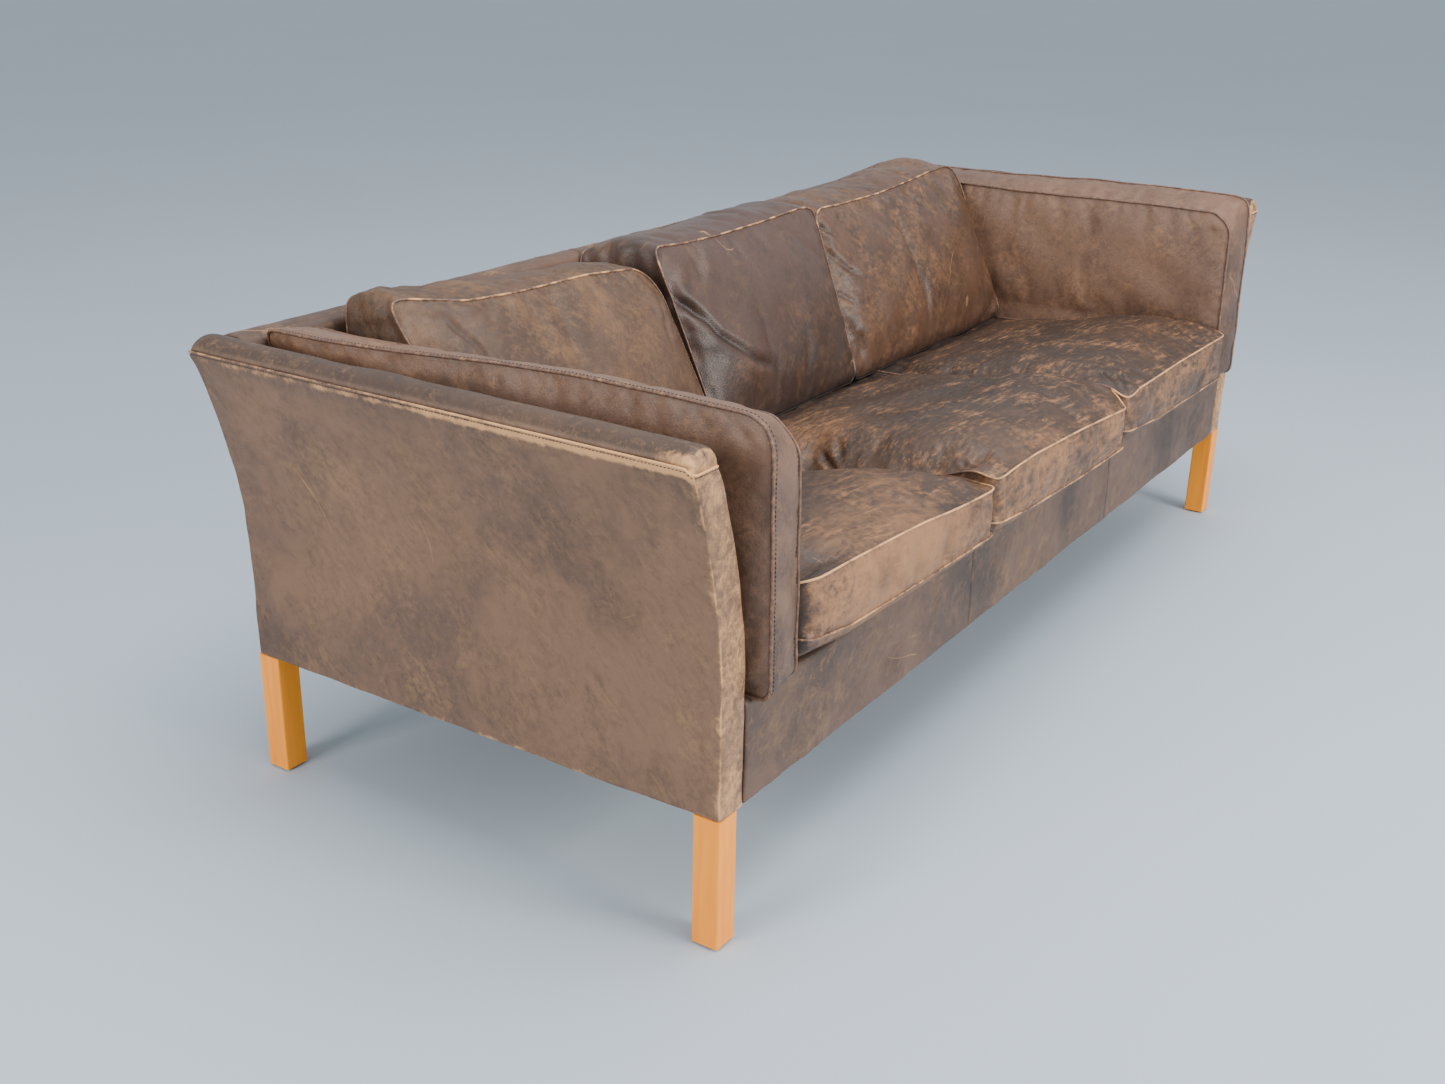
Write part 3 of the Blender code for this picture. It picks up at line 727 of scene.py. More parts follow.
def fold_in(points, normals, folds):
    """Press creases into a skin: each has a line, a half width and a depth. Returns points, and how deep each
    point lies in a crease, for painted crease shade.
    """
    deep = np.zeros(len(points))
    lift = np.zeros(len(points))
    for line, width, depth in folds:
        line = dense(np.array(line))
        low, high = line.min(0) - width * 5, line.max(0) + width * 5
        close = np.flatnonzero(np.all((points > low) & (points < high), axis=1))
        if not len(close):
            continue
        gaps = points[close][:, None, :] - line[None, :, :]
        squared = np.sum(gaps ** 2, axis=2)
        away = np.sqrt(squared.min(1))
        where = squared.argmin(1) / max(1, len(line) - 1)
        taper = np.clip(1 - where ** 3, 0, 1) * np.clip(0.3 + 8 * where, 0, 1)
        valley = fading(away, width) * taper
        ridge = fading(away - 2.1 * width, 1.1 * width) * taper
        lift[close] += depth * (0.35 * ridge - valley)
        deep[close] = np.maximum(deep[close], valley * min(1.0, depth / 0.008))
    return points + normals * lift[:, None], deep


def filled(name, mesh, loops, held, room, pressure, slack):
    """Fill a cover, make its skin finer, and say how far each point is from the seams."""
    move_points(mesh, fill_out(mesh, held, room, pressure, slack))
    mesh = finer(name, mesh, 2, loops)
    points, normals = points_of(mesh), normals_of(mesh)
    away = nearest(points, np.concatenate([points[loop] for loop in loops]))
    return mesh, points, normals, away


def patch_at(points, place_x, place_z, reach):
    """A soft round patch as seen from the front, 1 at its centre."""
    far = ((points[:, 0] - place_x) ** 2 + (points[:, 2] - place_z) ** 2) / reach ** 2
    return np.exp(-far)


def on_skin(points, normals, side, line):
    """Lay a line on a skin: its points are (x, y) on the top, or (x, z) on the front."""
    axis = 1 if side == "front" else 2
    aimed = -normals[:, 1] if side == "front" else normals[:, 2]
    skin = points[aimed > 0.35]
    flat = np.delete(skin, axis, axis=1)
    return skin[((flat[:, None, :] - np.array(line)[None]) ** 2).sum(2).argmin(0)]


def flowing(line, steps=4):
    """A closed line of points, rounded through them with short steps."""
    a, b, c, d = (np.roll(line, shift, axis=0) for shift in (1, 0, -1, -2))
    made = []
    for step in range(steps):
        u = step / steps
        made.append(b + 0.5 * u * (c - a + u * (2 * a - 5 * b + 4 * c - d + u * (3 * (b - c) + d - a))))
    return np.stack(made, axis=1).reshape(-1, *line.shape[1:])


def sew(name, mesh, loops, wears, radius, lift=0.0008):
    """Lay a welt along each seam loop of a finished cover."""
    points, normals = points_of(mesh), normals_of(mesh)
    lines = [flowing(points[loop] + normals[loop] * lift) for loop in loops]
    wears = [flowing(worn) if np.ndim(worn) else worn for worn in wears]
    trim(name, lines, True, welt_tree, WELT, {"Radius": radius}, wears)


ARM_LOW, ARM_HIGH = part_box("arm_cushion_right")
ARM_THICK = 0.080
ARM_FRONT = ARM_LOW.y
ARM_REAR = ARM_HIGH.y
ARM_BASE = ARM_LOW.z
ARM_IN = ARM_LOW.x
ARM_TOP = {"left": 0.697, "right": 0.708}
ARM_ROUND = {"left": 0.040, "right": 0.030}
ARM_LEAN = {"left": (0.046, -0.12), "right": (0.012, -0.10)}
ARM_SAG = 0.025
ARM_FOLDS = {
    "left": [(((-0.956, -0.250, 0.577), (-0.944, -0.372, 0.579), (-0.936, -0.412, 0.581)), 0.0016, 0.0020)],
    "right": [],
}

for word, side in (("left", -1), ("right", 1)):
    tall = ARM_TOP[word] - ARM_BASE
    deep_y = ARM_REAR - ARM_FRONT
    (p, q, t), quads, table = box_grid(spaced(deep_y, CELL), spaced(tall, CELL), spaced(ARM_THICK, CELL))
    radius = np.where((p < 0.5) & (q > 0.5), ARM_ROUND[word] + 0.022 * (1 - t), 0.016)
    along, up = rounded((2 * p - 1) * deep_y / 2, (2 * q - 1) * tall / 2, deep_y / 2, tall / 2, radius)
    y = (ARM_FRONT + ARM_REAR) / 2 + along
    z = ARM_BASE + tall / 2 + up
    rise = np.clip((z - ARM_BASE) / tall, 0, 1)
    y = y + 0.008 * rise * smooth(-y, 0.2, 0.4)
    z = z - (0.007 * smooth(y, -0.2, 0.36) + 0.002 * np.sin(9 * y)) * rise
    lean, lean_from = ARM_LEAN[word]
    lean = lean * smooth(y, lean_from, 0.37) * rise ** 2
    z = z - ARM_SAG * (1 - t) ** 1.4 * smooth(rise, 0.7, 1.0) * (1 - 0.4 * smooth(y, -0.1, 0.3))
    y = y + 0.012 * (1 - t) ** 1.4 * smooth(-y, 0.36, 0.40)
    x = ARM_IN + t * ARM_THICK + lean
    start = np.stack([side * x, y, z], axis=1)
    mesh = to_mesh("arm", start, quads)
    loops, edge = seams_of(table, len(start))
    inner = (t < 0.001) & ~edge
    outside = (t > 0.999) & ~edge
    held = edge | (q < 0.001) | (p > 0.999) | (inner & ((z < 0.45) | (y > 0.24)))
    room = np.where(inner, 0.012, np.where(outside, 0.011, 0.010))
    mesh, points, normals, away = filled("arm", mesh, loops, held, room, 2.8, 0.02)
    pucker = np.exp(-away / 0.018) * smooth(away, 0.0, 0.006)
    wave = 0.0010 * ripple(points, 0.022, 41) * pucker + 0.0012 * ripple(points, 0.12, 42)
    points = points + normals * wave[:, None]
    points, deep = fold_in(points, normals, ARM_FOLDS[word])
    move_points(mesh, points)
    top_light = smooth(points[:, 2], 0.66, 0.70)
    front = smooth(-normals[:, 1], 0.4, 0.8)
    # The front face is painted darker, and so is the part below 0.42 m.
    darker_front = (0.50 + 0.25 * ripple(points, 0.09, 46)) * front
    low_down = 0.3 * smooth(0.42 - points[:, 2], 0, 0.1)
    paint(
        mesh,
        wear=0.28 * fading(away, 0.004) * (0.6 + ripple(points, 0.08, 43)),
        soil=0.35 * np.clip(ripple(points, 0.2, 44), 0, 1) + low_down + darker_front,
        tan=0.35 * np.clip(ripple(points, 0.16, 45), 0, 1) * (1 - top_light),
        # Painted shade along the seams and in the crease.
        fold=np.maximum(0.35 * fading(away, 0.0035), deep),
    )
    piece = piece_of(f"arm_leather_{word}", mesh, ARM_LEATHER, ["arm_cushion_" + word])
    sew(f"arm_welts_{word}", mesh, loops, [0.05, 0.24], radius=0.0025)
    lines = []
    for loop, step in zip(loops, (0.0065, -0.0065)):
        lines.append(flowing(points[loop] + normals[loop] * 0.0022 + np.array((side * step, 0, 0))))
    name, sizes = f"arm_stitches_{word}", {"Pitch": 0.0058, "Length": 0.0042}
    trim(name, lines, True, stitch_tree, THREAD.material, sizes)

# The three seat cushions are deep foam slabs with down in their tops, in boxed and welted leather covers.
# Sitting has worn them down to the rear, and hands and legs have rubbed the front welts and boxing to tan.
SEAT_BOXES = [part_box(f"seat_cushion_{n}") for n in (1, 2, 3)]
SEAT_BASE = SEAT_BOXES[0][0].z
SEAT_REAR_TOP = 0.3983
SEAT_SIDE_TOP = 0.450
SEAT_TALL = 0.108
SEAT_SHOWN = 0.55
BACK_FOOT = 0.075
SEAT_FRONT_TOPS = [
    ((-0.85, 0.468), (-0.75, 0.464), (-0.61, 0.456), (-0.457, 0.445), (-0.337, 0.437), (-0.29, 0.431)),
    ((-0.285, 0.436), (-0.25, 0.444), (-0.15, 0.446), (0.05, 0.436), (0.20, 0.425), (0.28, 0.418)),
    ((0.287, 0.430), (0.32, 0.443), (0.55, 0.444), (0.85, 0.438)),
]
SEAT_FRONT_LOWS = [
    ((-0.85, 0.388), (-0.80, 0.380), (-0.74, 0.371), (-0.50, 0.360), (-0.29, 0.354)),
    ((-0.28, 0.368), (-0.15, 0.356), (0.06, 0.347), (0.28, 0.344)),
    ((0.29, 0.370), (0.45, 0.356), (0.85, 0.347)),
]
SEAT_DIP = np.array([
    (-0.43, 0.431), (-0.40, 0.428), (-0.363, 0.431), (-0.329, 0.428), (-0.278, 0.419), (-0.226, 0.409),
    (-0.172, 0.396), (-0.117, 0.381), (-0.085, 0.373), (-0.03, 0.380), (0.03, 0.394), (0.06, 0.398),
])
# How much darker each seat's top is painted: painted shade, since less light falls on the tops, with grime.
SEAT_TOP_SHADE_AND_GRIME = (0.62, 0.48, 1.05)
SEAT_FACE_TAN = (0.52, 0.30, 0.16)
SEAT_LEATHER = leather(
    "seat_leather", (84, 62, 48), (58, 44, 35), (160, 113, 74), rough=0.46, mottle=0.24,
    streak=0.50, seed=12.9, way=(0.25, 1.0, 0.8), turn=(0, 0, 0.12)
)
SEAT_TAN = [
    (-60, -43, 40, 16, 75), (-45, -30, 46, 10, 50), (-70, -36, 46, 8, 50), (-10, -43, 40, 14, 45),
    (20, -43, 40, 10, 35), (5, -30, 47, 8, 20), (50, -43, 40, 14, 35), (60, -28, 45, 10, 55),
    (75, -35, 44, 8, 50), (70, 0, 42, 8, 50), (42, 0, 42, 7, 40), (-20, -5, 45, 11, 75),
]
SEAT_FOLDS = [
    ("top", ((-0.246, -0.096), (-0.262, -0.120), (-0.278, -0.143)), 0.0060, 0.0080),
    ("top", ((-0.228, -0.116), (-0.250, -0.134), (-0.268, -0.147)), 0.0060, 0.0040),
    ("top", ((0.196, -0.150), (0.203, -0.142), (0.214, -0.140)), 0.0050, 0.005),
    ("top", ((0.214, -0.140), (0.262, -0.120)), 0.0035, 0.002),
    ("top", ((0.196, -0.150), (0.150, -0.180)), 0.0035, 0.002),
    ("top", ((-0.345, -0.330), (-0.300, -0.390)), 0.0040, 0.003),
    ("top", ((-0.250, -0.350), (-0.280, -0.400)), 0.0040, 0.004),
    ("top", ((0.330, -0.350), (0.298, -0.400)), 0.0045, 0.005),
    ("top", ((0.350, -0.380), (0.305, -0.412)), 0.0040, 0.004),
]
SEAT_SOIL = [
    (42, -15, 46, 12, 75), (25, -25, 46, 12, 60), (5, -10, 46, 16, 60), (5, -28, 46, 14, 40),
    (60, 0, 42, 10, 35), (62, -14, 45, 8, 50), (-10, -22, 47, 12, 45), (-62, -20, 47, 12, 50),
    (-50, -10, 46, 8, 40), (5, -43, 38, 5, 50), (-35, -43, 40, 4, 30), (-76, -24, 47, 12, 50),
    (-46, -43, 40, 4, 70), (45, -5, 42, 14, 50), (-66, -43, 41, 3, 70), (-56, -43, 38, 3, 60),
    (-38, -43, 42, 3, 50), (-16, -43, 41, 3, 50),
]

for number in (1, 2, 3):
    low, high = SEAT_BOXES[number - 1]
    width, depth = high.x - low.x, high.y - low.y
    shown = spaced(SEAT_SHOWN, CELL) * SEAT_SHOWN / depth
    covered = shown[-1] + spaced(depth - SEAT_SHOWN, 2 * CELL)[1:] * (1 - shown[-1])
    rows = np.concatenate([shown, covered])
    (p, q, t), quads, table = box_grid(spaced(width, CELL), rows, spaced(SEAT_TALL, CELL))
    radius = np.where(q < 0.5, 0.026, 0.010)
    across, along = rounded((2 * p - 1) * width / 2, (2 * q - 1) * depth / 2, width / 2, depth / 2, radius)
    x = (low.x + high.x) / 2 + across
    y = (low.y + high.y) / 2 + along
    tops = np.array(SEAT_FRONT_TOPS[number - 1])
    ahead = np.clip((y - low.y) / (BACK_FOOT - low.y), 0, 1)
    front_top = np.interp(x, tops[:, 0], tops[:, 1])
    seam_top = front_top + (SEAT_SIDE_TOP - front_top) * smooth(ahead, 0.0, 0.10)
    surface = seam_top + (SEAT_REAR_TOP - seam_top) * smooth(ahead, 0.10, 1.0)
    arch = np.clip(1 - np.abs(2 * p - 1) ** 5, 0, 1) * np.clip(1 - np.abs(2 * ahead - 1) ** 3, 0, 1)
    surface = surface + 0.013 * arch
    sag = np.interp(y, SEAT_DIP[:, 0], SEAT_DIP[:, 1])
    if number == 1:
        surface = surface + (sag - surface) * np.clip((p - 0.55) / 0.45, 0, 1) ** 1.3
    if number == 2:
        surface = surface + (sag - 0.003 - surface) * smooth(p, 0.10, 0.0) * smooth(y, -0.41, -0.31)
    lows = np.array(SEAT_FRONT_LOWS[number - 1])
    lift = np.interp(x, lows[:, 0], lows[:, 1]) - SEAT_BASE
    inward = y - low.y
    rim = (p < 0.001) | (p > 0.999) | (q < 0.001)
    drop = 0.016 * np.clip(inward / 0.012, 0, 1) + np.clip(inward - 0.012, 0, 1)
    floor = SEAT_BASE + np.where(rim, lift * (1 - smooth(inward, 0.03, 0.10)), np.clip(lift - drop, 0, 1))
    y = np.where((t < 0.001) & (inward < 0.03), low.y + inward * np.clip(inward / 0.03, 0, 1) ** 0.8, y)
    z = floor + t * (surface - floor)
    start = np.stack([x, y, z], axis=1)
    mesh = to_mesh("seat", start, quads)
    loops, edge = seams_of(table, len(start))
    above = (t > 0.999) & ~edge
    in_front = (q < 0.001) & ~edge
    held = ~(above & (ahead < 0.97)) & ~in_front
    room = np.where(above, 0.020 * np.clip(1.15 - ahead, 0, 1) + 0.002, 0.012)
    mesh, points, normals, away = filled("seat", mesh, loops, held, room, 3.5, 0.03)
    top = smooth(normals[:, 2], 0.3, 0.8)
    pucker = np.exp(-away / 0.020) * smooth(away, 0.0, 0.006)
    wave = 0.0014 * ripple(points, 0.022, 51 + number) * pucker
    wave += top * 0.0030 * ripple(points, 0.15, 61 + number)
    wave += top * 0.0007 * ripple(points, 0.028, 71, (1, 2.2, 1))
    points = points + normals * (wave * smooth(away, 0.0, 0.03))[:, None]
    face = smooth(-normals[:, 1], 0.4, 0.9)
    points[:, 0] = np.clip(points[:, 0], low.x, high.x)
    folds = [fold for fold in SEAT_FOLDS if low.x < fold[1][0][0] < high.x]
    folds = [(on_skin(points, normals, *fold[:2]), *fold[2:]) for fold in folds]
    points, deep = fold_in(points, normals, folds)
    move_points(mesh, points)
    front_seam = fading(away, 0.006) * smooth(-0.36 - points[:, 1], 0, 0.04)
    # The undersides get painted shade.
    below = smooth(-normals[:, 2], 0.15, 0.4)
    # Painted shade where the seat runs in under the back cushions.
    crevice_shade = smooth(points[:, 1], 0.035, 0.074) * top
    paint(
        mesh,
        wear=0.30 * front_seam + face * 0.16 + 0.10 * top * smooth(-points[:, 1], 0.30, 0.42),
        soil=spots(points, SEAT_SOIL) + top * SEAT_TOP_SHADE_AND_GRIME[number - 1] + 0.5 * below,
        tan=spots(points, SEAT_TAN) + SEAT_FACE_TAN[number - 1] * face,
        # Painted shade along the seams, in the creases and under the back cushions.
        fold=np.maximum(deep, 0.7 * fading(away, 0.0032)) + 0.9 * crevice_shade,
    )
    piece = piece_of(
        f"seat_leather_{number}", mesh, SEAT_LEATHER, [f"seat_cushion_{number}"]
    )
    wears = []
    for loop in loops:
        line = points_of(mesh)[loop]
        wears.append(0.05 + (0.68 + 0.22 * ripple(line, 0.05, 74)) * smooth(-line[:, 1], 0.36, 0.41))
    wears[0] = wears[0] * 0.7
    sew(f"seat_welts_{number}", mesh, loops, wears, radius=0.0016)

# The three back cushions are loose down-filled wedges, with boxing strips between a front and a rear panel.
# They have slumped and creased where they meet: the middle one is squeezed by the right one.
BACK_WIDE = 0.565
BACK_TALL = 0.302
BACK_DEEP = 0.23
BACK_TOP_FRONT = 0.220
BACK_TOP_REAR = 0.372
BACK_EDGES = [((-0.8500, -0.8500), (-0.2870, -0.2870)), ((-0.2850, -0.2850), (0.2370, 0.1850)),
              ((0.2390, 0.1870), (0.8500, 0.8500))]
BACK_FRONT_TOPS = [
    ((-0.85, 0.724), (-0.80, 0.718), (-0.74, 0.709), (-0.63, 0.702), (-0.463, 0.700), (-0.35, 0.690),
     (-0.287, 0.676)),
    ((-0.285, 0.716), (-0.20, 0.709), (-0.10, 0.707), (0.041, 0.710), (0.19, 0.717), (0.237, 0.712)),
    ((0.239, 0.708), (0.327, 0.704), (0.498, 0.705), (0.645, 0.715), (0.72, 0.722), (0.85, 0.728)),
]
BACK_REAR_TOPS = [
    ((-0.85, 0.716), (-0.79, 0.712), (-0.70, 0.695), (-0.5, 0.680), (-0.287, 0.662)),
    ((-0.285, 0.690), (0.0, 0.698), (0.237, 0.698)),
    ((0.239, 0.696), (0.6, 0.704), (0.85, 0.724)),
]
BACK_LEATHERS = [
    leather("back_leather_near", (84, 61, 46), (70, 51, 39), (116, 84, 57), rough=0.52, mottle=0.18,
            streak=0.4, seed=15.1, way=(0.8, 1.0, 0.5), turn=(0, 0.5, 0)),
    leather("back_leather_middle", (76, 56, 48), (58, 45, 39), (104, 74, 54), rough=0.36, mottle=0.10,
            streak=0.2, seed=17.7, way=(0.8, 1.0, 0.6), turn=(0, -0.5, 0)),
    leather("back_leather_far", (88, 62, 47), (66, 50, 41), (128, 90, 60), rough=0.36, mottle=0.30,
            streak=0.3, seed=21.3, way=(0.8, 1.0, 0.6), turn=(0, 0.7, 0)),
]
BACK_FOLDS = [
    [
        ("front", ((-0.330, 0.640), (-0.352, 0.600), (-0.360, 0.560)), 0.0050, 0.003),
        ("front", ((-0.790, 0.690), (-0.770, 0.650), (-0.765, 0.610)), 0.0050, 0.004),
    ],
    [
        ("front", ((-0.284, 0.640), (-0.262, 0.614), (-0.228, 0.570), (-0.160, 0.516), (-0.090, 0.488)),
         0.0085, 0.0085),
    ],
    [
        ("front", ((0.236, 0.680), (0.250, 0.664), (0.270, 0.650)), 0.0045, 0.0065),
        ("front", ((0.222, 0.634), (0.255, 0.596), (0.300, 0.572)), 0.0055, 0.0055),
        ("front", ((0.205, 0.560), (0.240, 0.540), (0.275, 0.528)), 0.0050, 0.0045),
        ("front", ((0.595, 0.700), (0.614, 0.680), (0.634, 0.656)), 0.0060, 0.004),
        ("front", ((0.513, 0.694), (0.531, 0.680), (0.550, 0.662)), 0.0060, 0.003),
        ("front", ((0.300, 0.690), (0.320, 0.650), (0.350, 0.625)), 0.0060, 0.002),
    ],
]
BACK_CRUMPLES = [
    [(-0.80, 0.69, 0.06, 0.0026), (-0.34, 0.61, 0.05, 0.0014)],
    [(-0.25, 0.55, 0.06, 0.0005), (0.10, 0.69, 0.06, 0.0008)],
    [(0.26, 0.60, 0.06, 0.0018), (0.26, 0.50, 0.05, 0.0018), (0.58, 0.69, 0.08, 0.0012),
     (0.75, 0.57, 0.07, 0.0008)],
]
BACK_CORNERS = [(0.020, 0.055), (0.018, 0.020), (0.030, 0.045)]
BACK_SWELLS = [
    [(-0.325, 0.620, 0.035, 0.004)],
    [(-0.258, 0.662, 0.030, 0.006), (-0.250, 0.560, 0.040, 0.008), (-0.215, 0.500, 0.045, 0.004)],
    [(0.252, 0.645, 0.020, 0.005), (0.246, 0.590, 0.024, 0.006), (0.236, 0.490, 0.034, 0.008)],
]

for number in (1, 2, 3):
    (left_top, left_low), (right_top, right_low) = BACK_EDGES[number - 1]
    (p, q, t), quads, table = box_grid(*(spaced(side, CELL) for side in (BACK_WIDE, BACK_TALL, BACK_DEEP)))
    corner_left, corner_right = BACK_CORNERS[number - 1]
    radius = np.where(q > 0.5, np.where(p < 0.5, corner_left, corner_right), 0.014)
    across, up = rounded(
        (2 * p - 1) * BACK_WIDE / 2, (2 * q - 1) * BACK_TALL / 2, BACK_WIDE / 2, BACK_TALL / 2, radius
    )
    p2, q2 = across / BACK_WIDE + 0.5, up / BACK_TALL + 0.5
    left = left_low + (left_top - left_low) * q2
    right = right_low + (right_top - right_low) * q2
    x = left + p2 * (right - left)
    fronts = np.array(BACK_FRONT_TOPS[number - 1])
    rears = np.array(BACK_REAR_TOPS[number - 1])
    top_front = np.interp(x, fronts[:, 0], fronts[:, 1])
    top_rear = np.interp(x, rears[:, 0], rears[:, 1])
    z_top = top_front + (top_rear - top_front) * t
    z_top = z_top - 0.002 + 0.007 * np.sin(math.pi * np.clip(t, 0, 1)) * (q2 > 0.98)
    low_z = SEAT_REAR_TOP + 0.002
    z = low_z + q2 * (z_top - low_z)
    y_front = BACK_FOOT + (BACK_TOP_FRONT - BACK_FOOT) * q2 ** 1.05
    belly = np.sin(math.pi * np.clip(q2, 0, 1)) * np.clip(1 - np.abs(2 * p2 - 1) ** 3, 0, 1)
    y_front = y_front - 0.016 * belly * (1.25 - 0.5 * q2)
    y_front = y_front + 0.050 * smooth(-x, 0.73, 0.86) * smooth(q2, 0.45, 1.0)
    y_front = y_front + 0.010 * (1 - smooth(q2, 0.0, 0.06))
    y_rear = BACK_TOP_REAR - 0.022 * smooth(-x, 0.74, 0.85)
    y = y_front + t * (y_rear - y_front)
    start = np.stack([x, y, z], axis=1)
    mesh = to_mesh("back_cushion", start, quads)
    loops, edge = seams_of(table, len(start))
    in_front = (t < 0.001) & ~edge
    on_top = (q > 0.999) & ~edge
    held = ~in_front & ~on_top
    room = np.where(in_front, 0.030, 0.010)
    mesh, points, normals, away = filled("back_cushion", mesh, loops, held, room, 4.0, 0.035)
    pucker = np.exp(-away / 0.024) * smooth(away, 0.0, 0.006)
    wave = 0.0016 * ripple(points, 0.026, 81 + number) * pucker + 0.0038 * ripple(points, 0.14, 85 + number)
    end_face = smooth(-normals[:, 0], 0.3, 0.8) * smooth(points[:, 2], 0.56, 0.66)
    wave += end_face * 0.0026 * ripple(points, 0.034, 87 + number, (0.3, 1, 0.35))
    for *place, height in BACK_CRUMPLES[number - 1]:
        wave += height * patch_at(points, *place) * ripple(points, 0.046, 97 + number, (1, 1, 1.4))
    for *place, height in BACK_SWELLS[number - 1]:
        wave += height * patch_at(points, *place) * smooth(-normals[:, 1], 0.2, 0.6)
    points = points + normals * (wave * smooth(away, 0.0, 0.020))[:, None]
    folds = [(on_skin(points, normals, *fold[:2]), *fold[2:]) for fold in BACK_FOLDS[number - 1]]
    points, deep = fold_in(points, normals, folds)
    move_points(mesh, points)
    # Painted shade at the foot of the cushion, where it meets the seat.
    crevice_shade = smooth(low_z + 0.034 - points[:, 2], 0, 0.03)
    paint(
        mesh,
        wear=0.22 * fading(away, 0.006) * smooth(points[:, 2], 0.62, 0.69),
        soil=0.45 * np.clip(ripple(points, 0.22, 91 + number), 0, 1),
        tan=0.5 * np.clip(ripple(points, 0.18, 95 + number), 0, 1) + (0.25 if number == 1 else 0.0),
        # Painted shade along the seams, in the creases and at the foot.
        fold=np.maximum(0.45 * fading(away, 0.004), deep) + 0.7 * crevice_shade,
    )
    piece = piece_of(
        f"back_cushion_leather_{number}", mesh, BACK_LEATHERS[number - 1],
        [f"back_cushion_{number}"],
    )
    line = points_of(mesh)[loops[0]]
    worn_top = smooth(line[:, 2], 0.64, 0.69) * (1 - smooth(line[:, 0], 0.74, 0.80))
    # The lower welt, down in the crevice, is painted in shade through a wear value below zero.
    hidden_welt_shade = 0.6 * smooth(0.430 - line[:, 2], 0.0, 0.02)
    wears = [(0.40 + 0.3 * ripple(line, 0.03, 75)) * worn_top - hidden_welt_shade, np.zeros(len(line)) + 0.05]
    sew(f"back_welts_{number}", mesh, loops, wears, radius=0.0017)

# The legs are square beech, oiled and varnished to a honey colour. Each is screwed to its panel's board.
# Under each sits a small round glide of dark nylon, and a zinc bolt joins leg and board.
wood = Finish("honey_wood")
grain_at = wood.at((26.0, 26.0, 1.6))
figure = wood.noise(3.0, 6, 0.6, grain_at, 0.6)
pores = wood.noise(22.0, 5, 0.65, wood.at((30.0, 30.0, 2.2)))
tone = wood.mix(wood.band(figure, 0.35, 0.7), colour(255, 158, 38), colour(248, 140, 28))
tone = wood.mix(wood.band(pores, 0.62, 0.8) * 0.35, tone, colour(196, 96, 22))
wood.set(base_color=tone, roughness=0.34 + wood.band(figure, 0.3, 0.8) * 0.12)
wood.bump(pores, 0.0003, 0.4)
wood.shader.inputs["Specular IOR Level"].default_value = 0.25
nylon = plain("dark_nylon_glide", [180.0], (70, 34, 30), (92, 52, 44), 0.55)
steel = plain("zinc_bolt", [90.0], (150, 150, 148), (190, 190, 186), 0.4)
steel.shader.inputs["Metallic"].default_value = 1.0

# The frame is sawn softwood: boards in the panels, the back and the rails, with blocks glued in the corners.
# Rubber webbing runs over it from front to back, under a felt, and a thin black cloth closes the bottom.
pine = Finish("frame_pine")
rings = pine.noise(6.0, 6, 0.6, pine.at((3.0, 12.0, 12.0)), 0.8)
tone = pine.mix(pine.band(rings, 0.35, 0.7), colour(206, 170, 122), colour(176, 134, 88))
pine.set(base_color=tone, roughness=0.75)
pine.bump(rings, 0.0006, 0.5)
webbing = Finish("rubber_webbing_weave")
rib = webbing.node("ShaderNodeTexWave", {"bands_direction": "X"}, {"Scale": 160.0, "Vector": webbing.place})
webbing.set(base_color=webbing.mix(rib, colour(78, 62, 50), colour(120, 96, 76)), roughness=0.85)
webbing.bump(rib, 0.0008, 0.6)
felt = plain("grey_wool_felt", [240.0, 7, 0.7], (96, 92, 88), (140, 136, 130), 0.95, (0.001, 0.7))
black = plain("black_dust_cloth", [420.0, 4, 0.7], (20, 20, 21), (44, 43, 44), 0.92, (0.0005, 0.6))
KEPT_NODES = {
    "leg_bolt": steel, "leg_front": wood, "leg_rear": wood, "glide": nylon,
    "end_board": pine, "back_board": pine, "front_rail_board": pine, "back_seat_rail": pine,
    "side_rail": pine, "cross_rail": pine, "corner_block": pine, "webbing_strap": webbing,
    "seat_felt": felt, "dust_cover": black,
}
for node_name, node in NODES.items():
    for start_of_name, finish in KEPT_NODES.items():
        if node_name.startswith(start_of_name):
            node.material_slots[0].material = finish.material

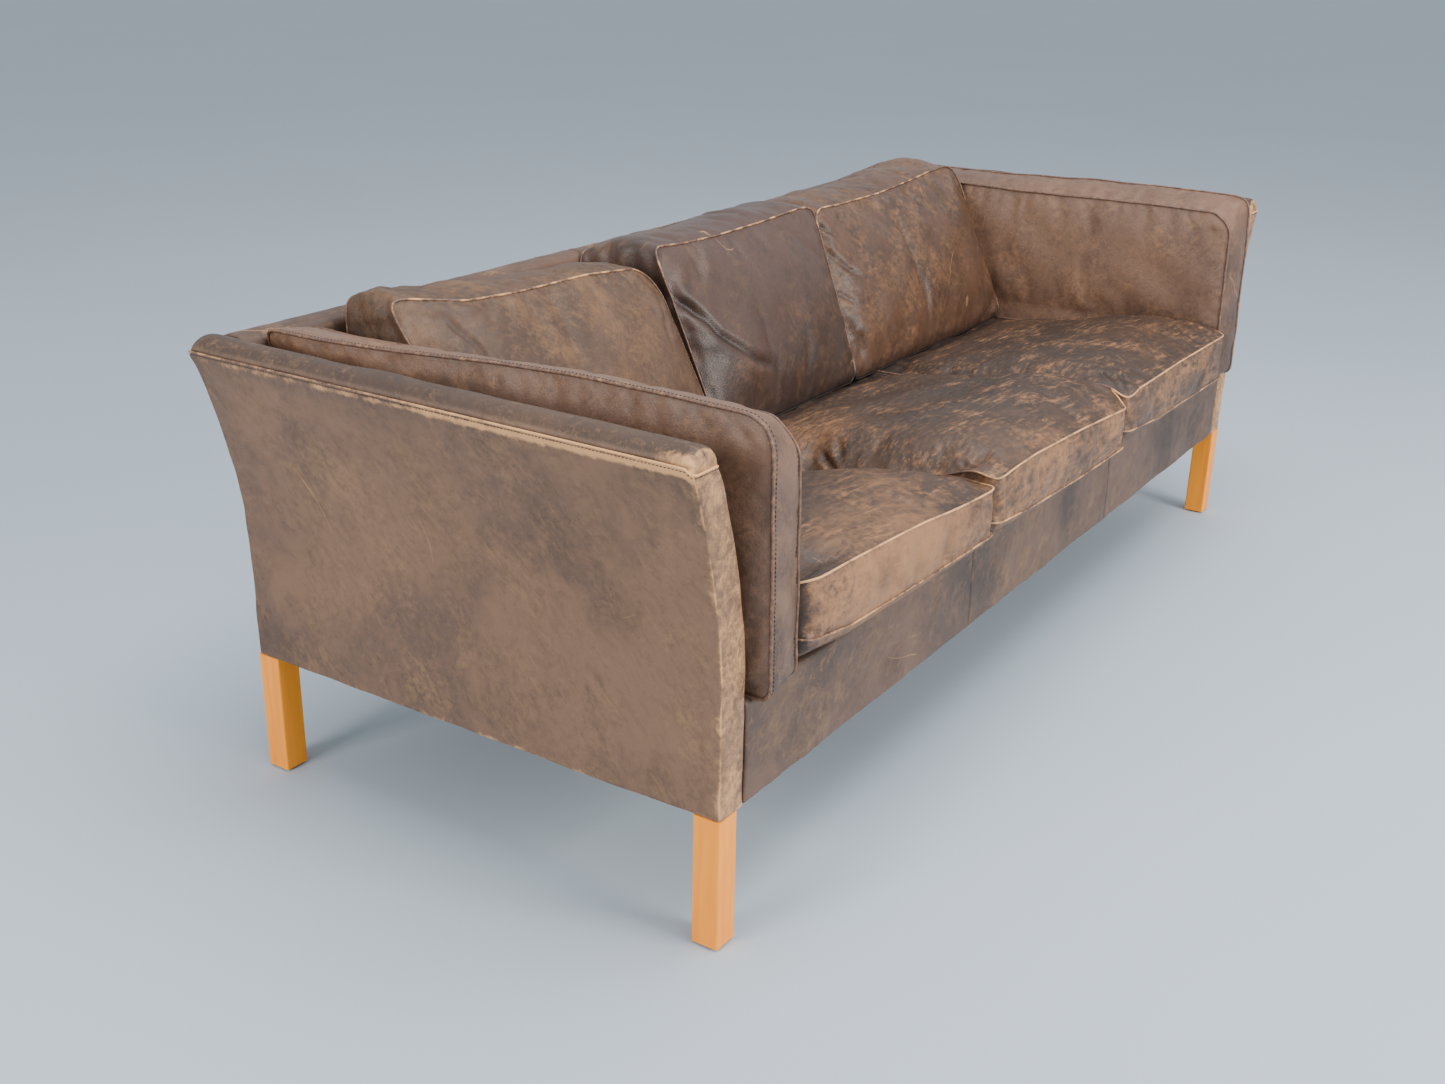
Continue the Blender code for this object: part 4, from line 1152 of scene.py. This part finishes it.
# The studio: a plain pale blue-grey floor, three large soft lights and an even sky.
floor_mesh = bpy.data.meshes.new("studio_floor")
reach = 60.0
floor_corners = [(-reach, -reach, 0), (reach, -reach, 0), (reach, reach, 0), (-reach, reach, 0)]
floor_mesh.from_pydata(floor_corners, [], [(0, 1, 2, 3)])
ground = add_object("studio_floor", floor_mesh)
floor_paint = plain("studio_floor_paint", [0.9, 4, 0.5], (172, 184, 194), (178, 190, 200), 0.7)
floor_mesh.materials.append(floor_paint.material)

world = bpy.data.worlds.new("studio_sky")
bpy.context.scene.world = world
world.use_nodes = True
world.node_tree.nodes["Background"].inputs["Color"].default_value = (0.80, 0.86, 0.92, 1)
world.node_tree.nodes["Background"].inputs["Strength"].default_value = 0.85


def softbox(name, place, target, width, height, power, tint):
    """A large soft lamp that looks at a target."""
    lamp = bpy.data.lights.new(name, "AREA")
    lamp.shape = "RECTANGLE"
    lamp.size = width
    lamp.size_y = height
    lamp.energy = power
    lamp.color = tint
    holder = add_object(name, lamp)
    holder.location = place
    holder.rotation_euler = (Vector(target) - Vector(place)).to_track_quat("-Z", "Y").to_euler()


softbox("front_light", (-0.4, -4.6, 2.1), (0, 0, 0.4), 1.8, 1.5, 230, (1.0, 0.98, 0.95))
softbox("end_light", (-5.0, 0.8, 2.1), (0, 0, 0.4), 1.6, 1.3, 150, (1.0, 0.98, 0.95))
softbox("top_light", (-0.2, -1.0, 4.4), (0, 0, 0.3), 3.6, 3.0, 210, (0.97, 0.98, 1.0))

# The camera stands off the near front corner, at standing height, and looks down along the sofa.
CAMERA_PLACE = (-2.3983, -1.3066, 1.2291)
CAMERA_LENS = 39.19
CAMERA_ANGLES = (56.9075, -21.7510, 1.1227)
camera = add_object("camera", bpy.data.cameras.new("camera"))
camera.data.sensor_width = 36.0
camera.data.lens = CAMERA_LENS
yaw, pitch, roll = (math.radians(angle) for angle in CAMERA_ANGLES)
forward = Vector((math.sin(yaw) * math.cos(pitch), math.cos(yaw) * math.cos(pitch), math.sin(pitch)))
right = Vector((math.cos(yaw), -math.sin(yaw), 0.0))
upward = right.cross(forward)
side = math.cos(roll) * right + math.sin(roll) * upward
top = -math.sin(roll) * right + math.cos(roll) * upward
turned = Matrix((side, top, -forward)).transposed().to_4x4()
camera.matrix_world = Matrix.Translation(CAMERA_PLACE) @ turned
bpy.context.scene.camera = camera
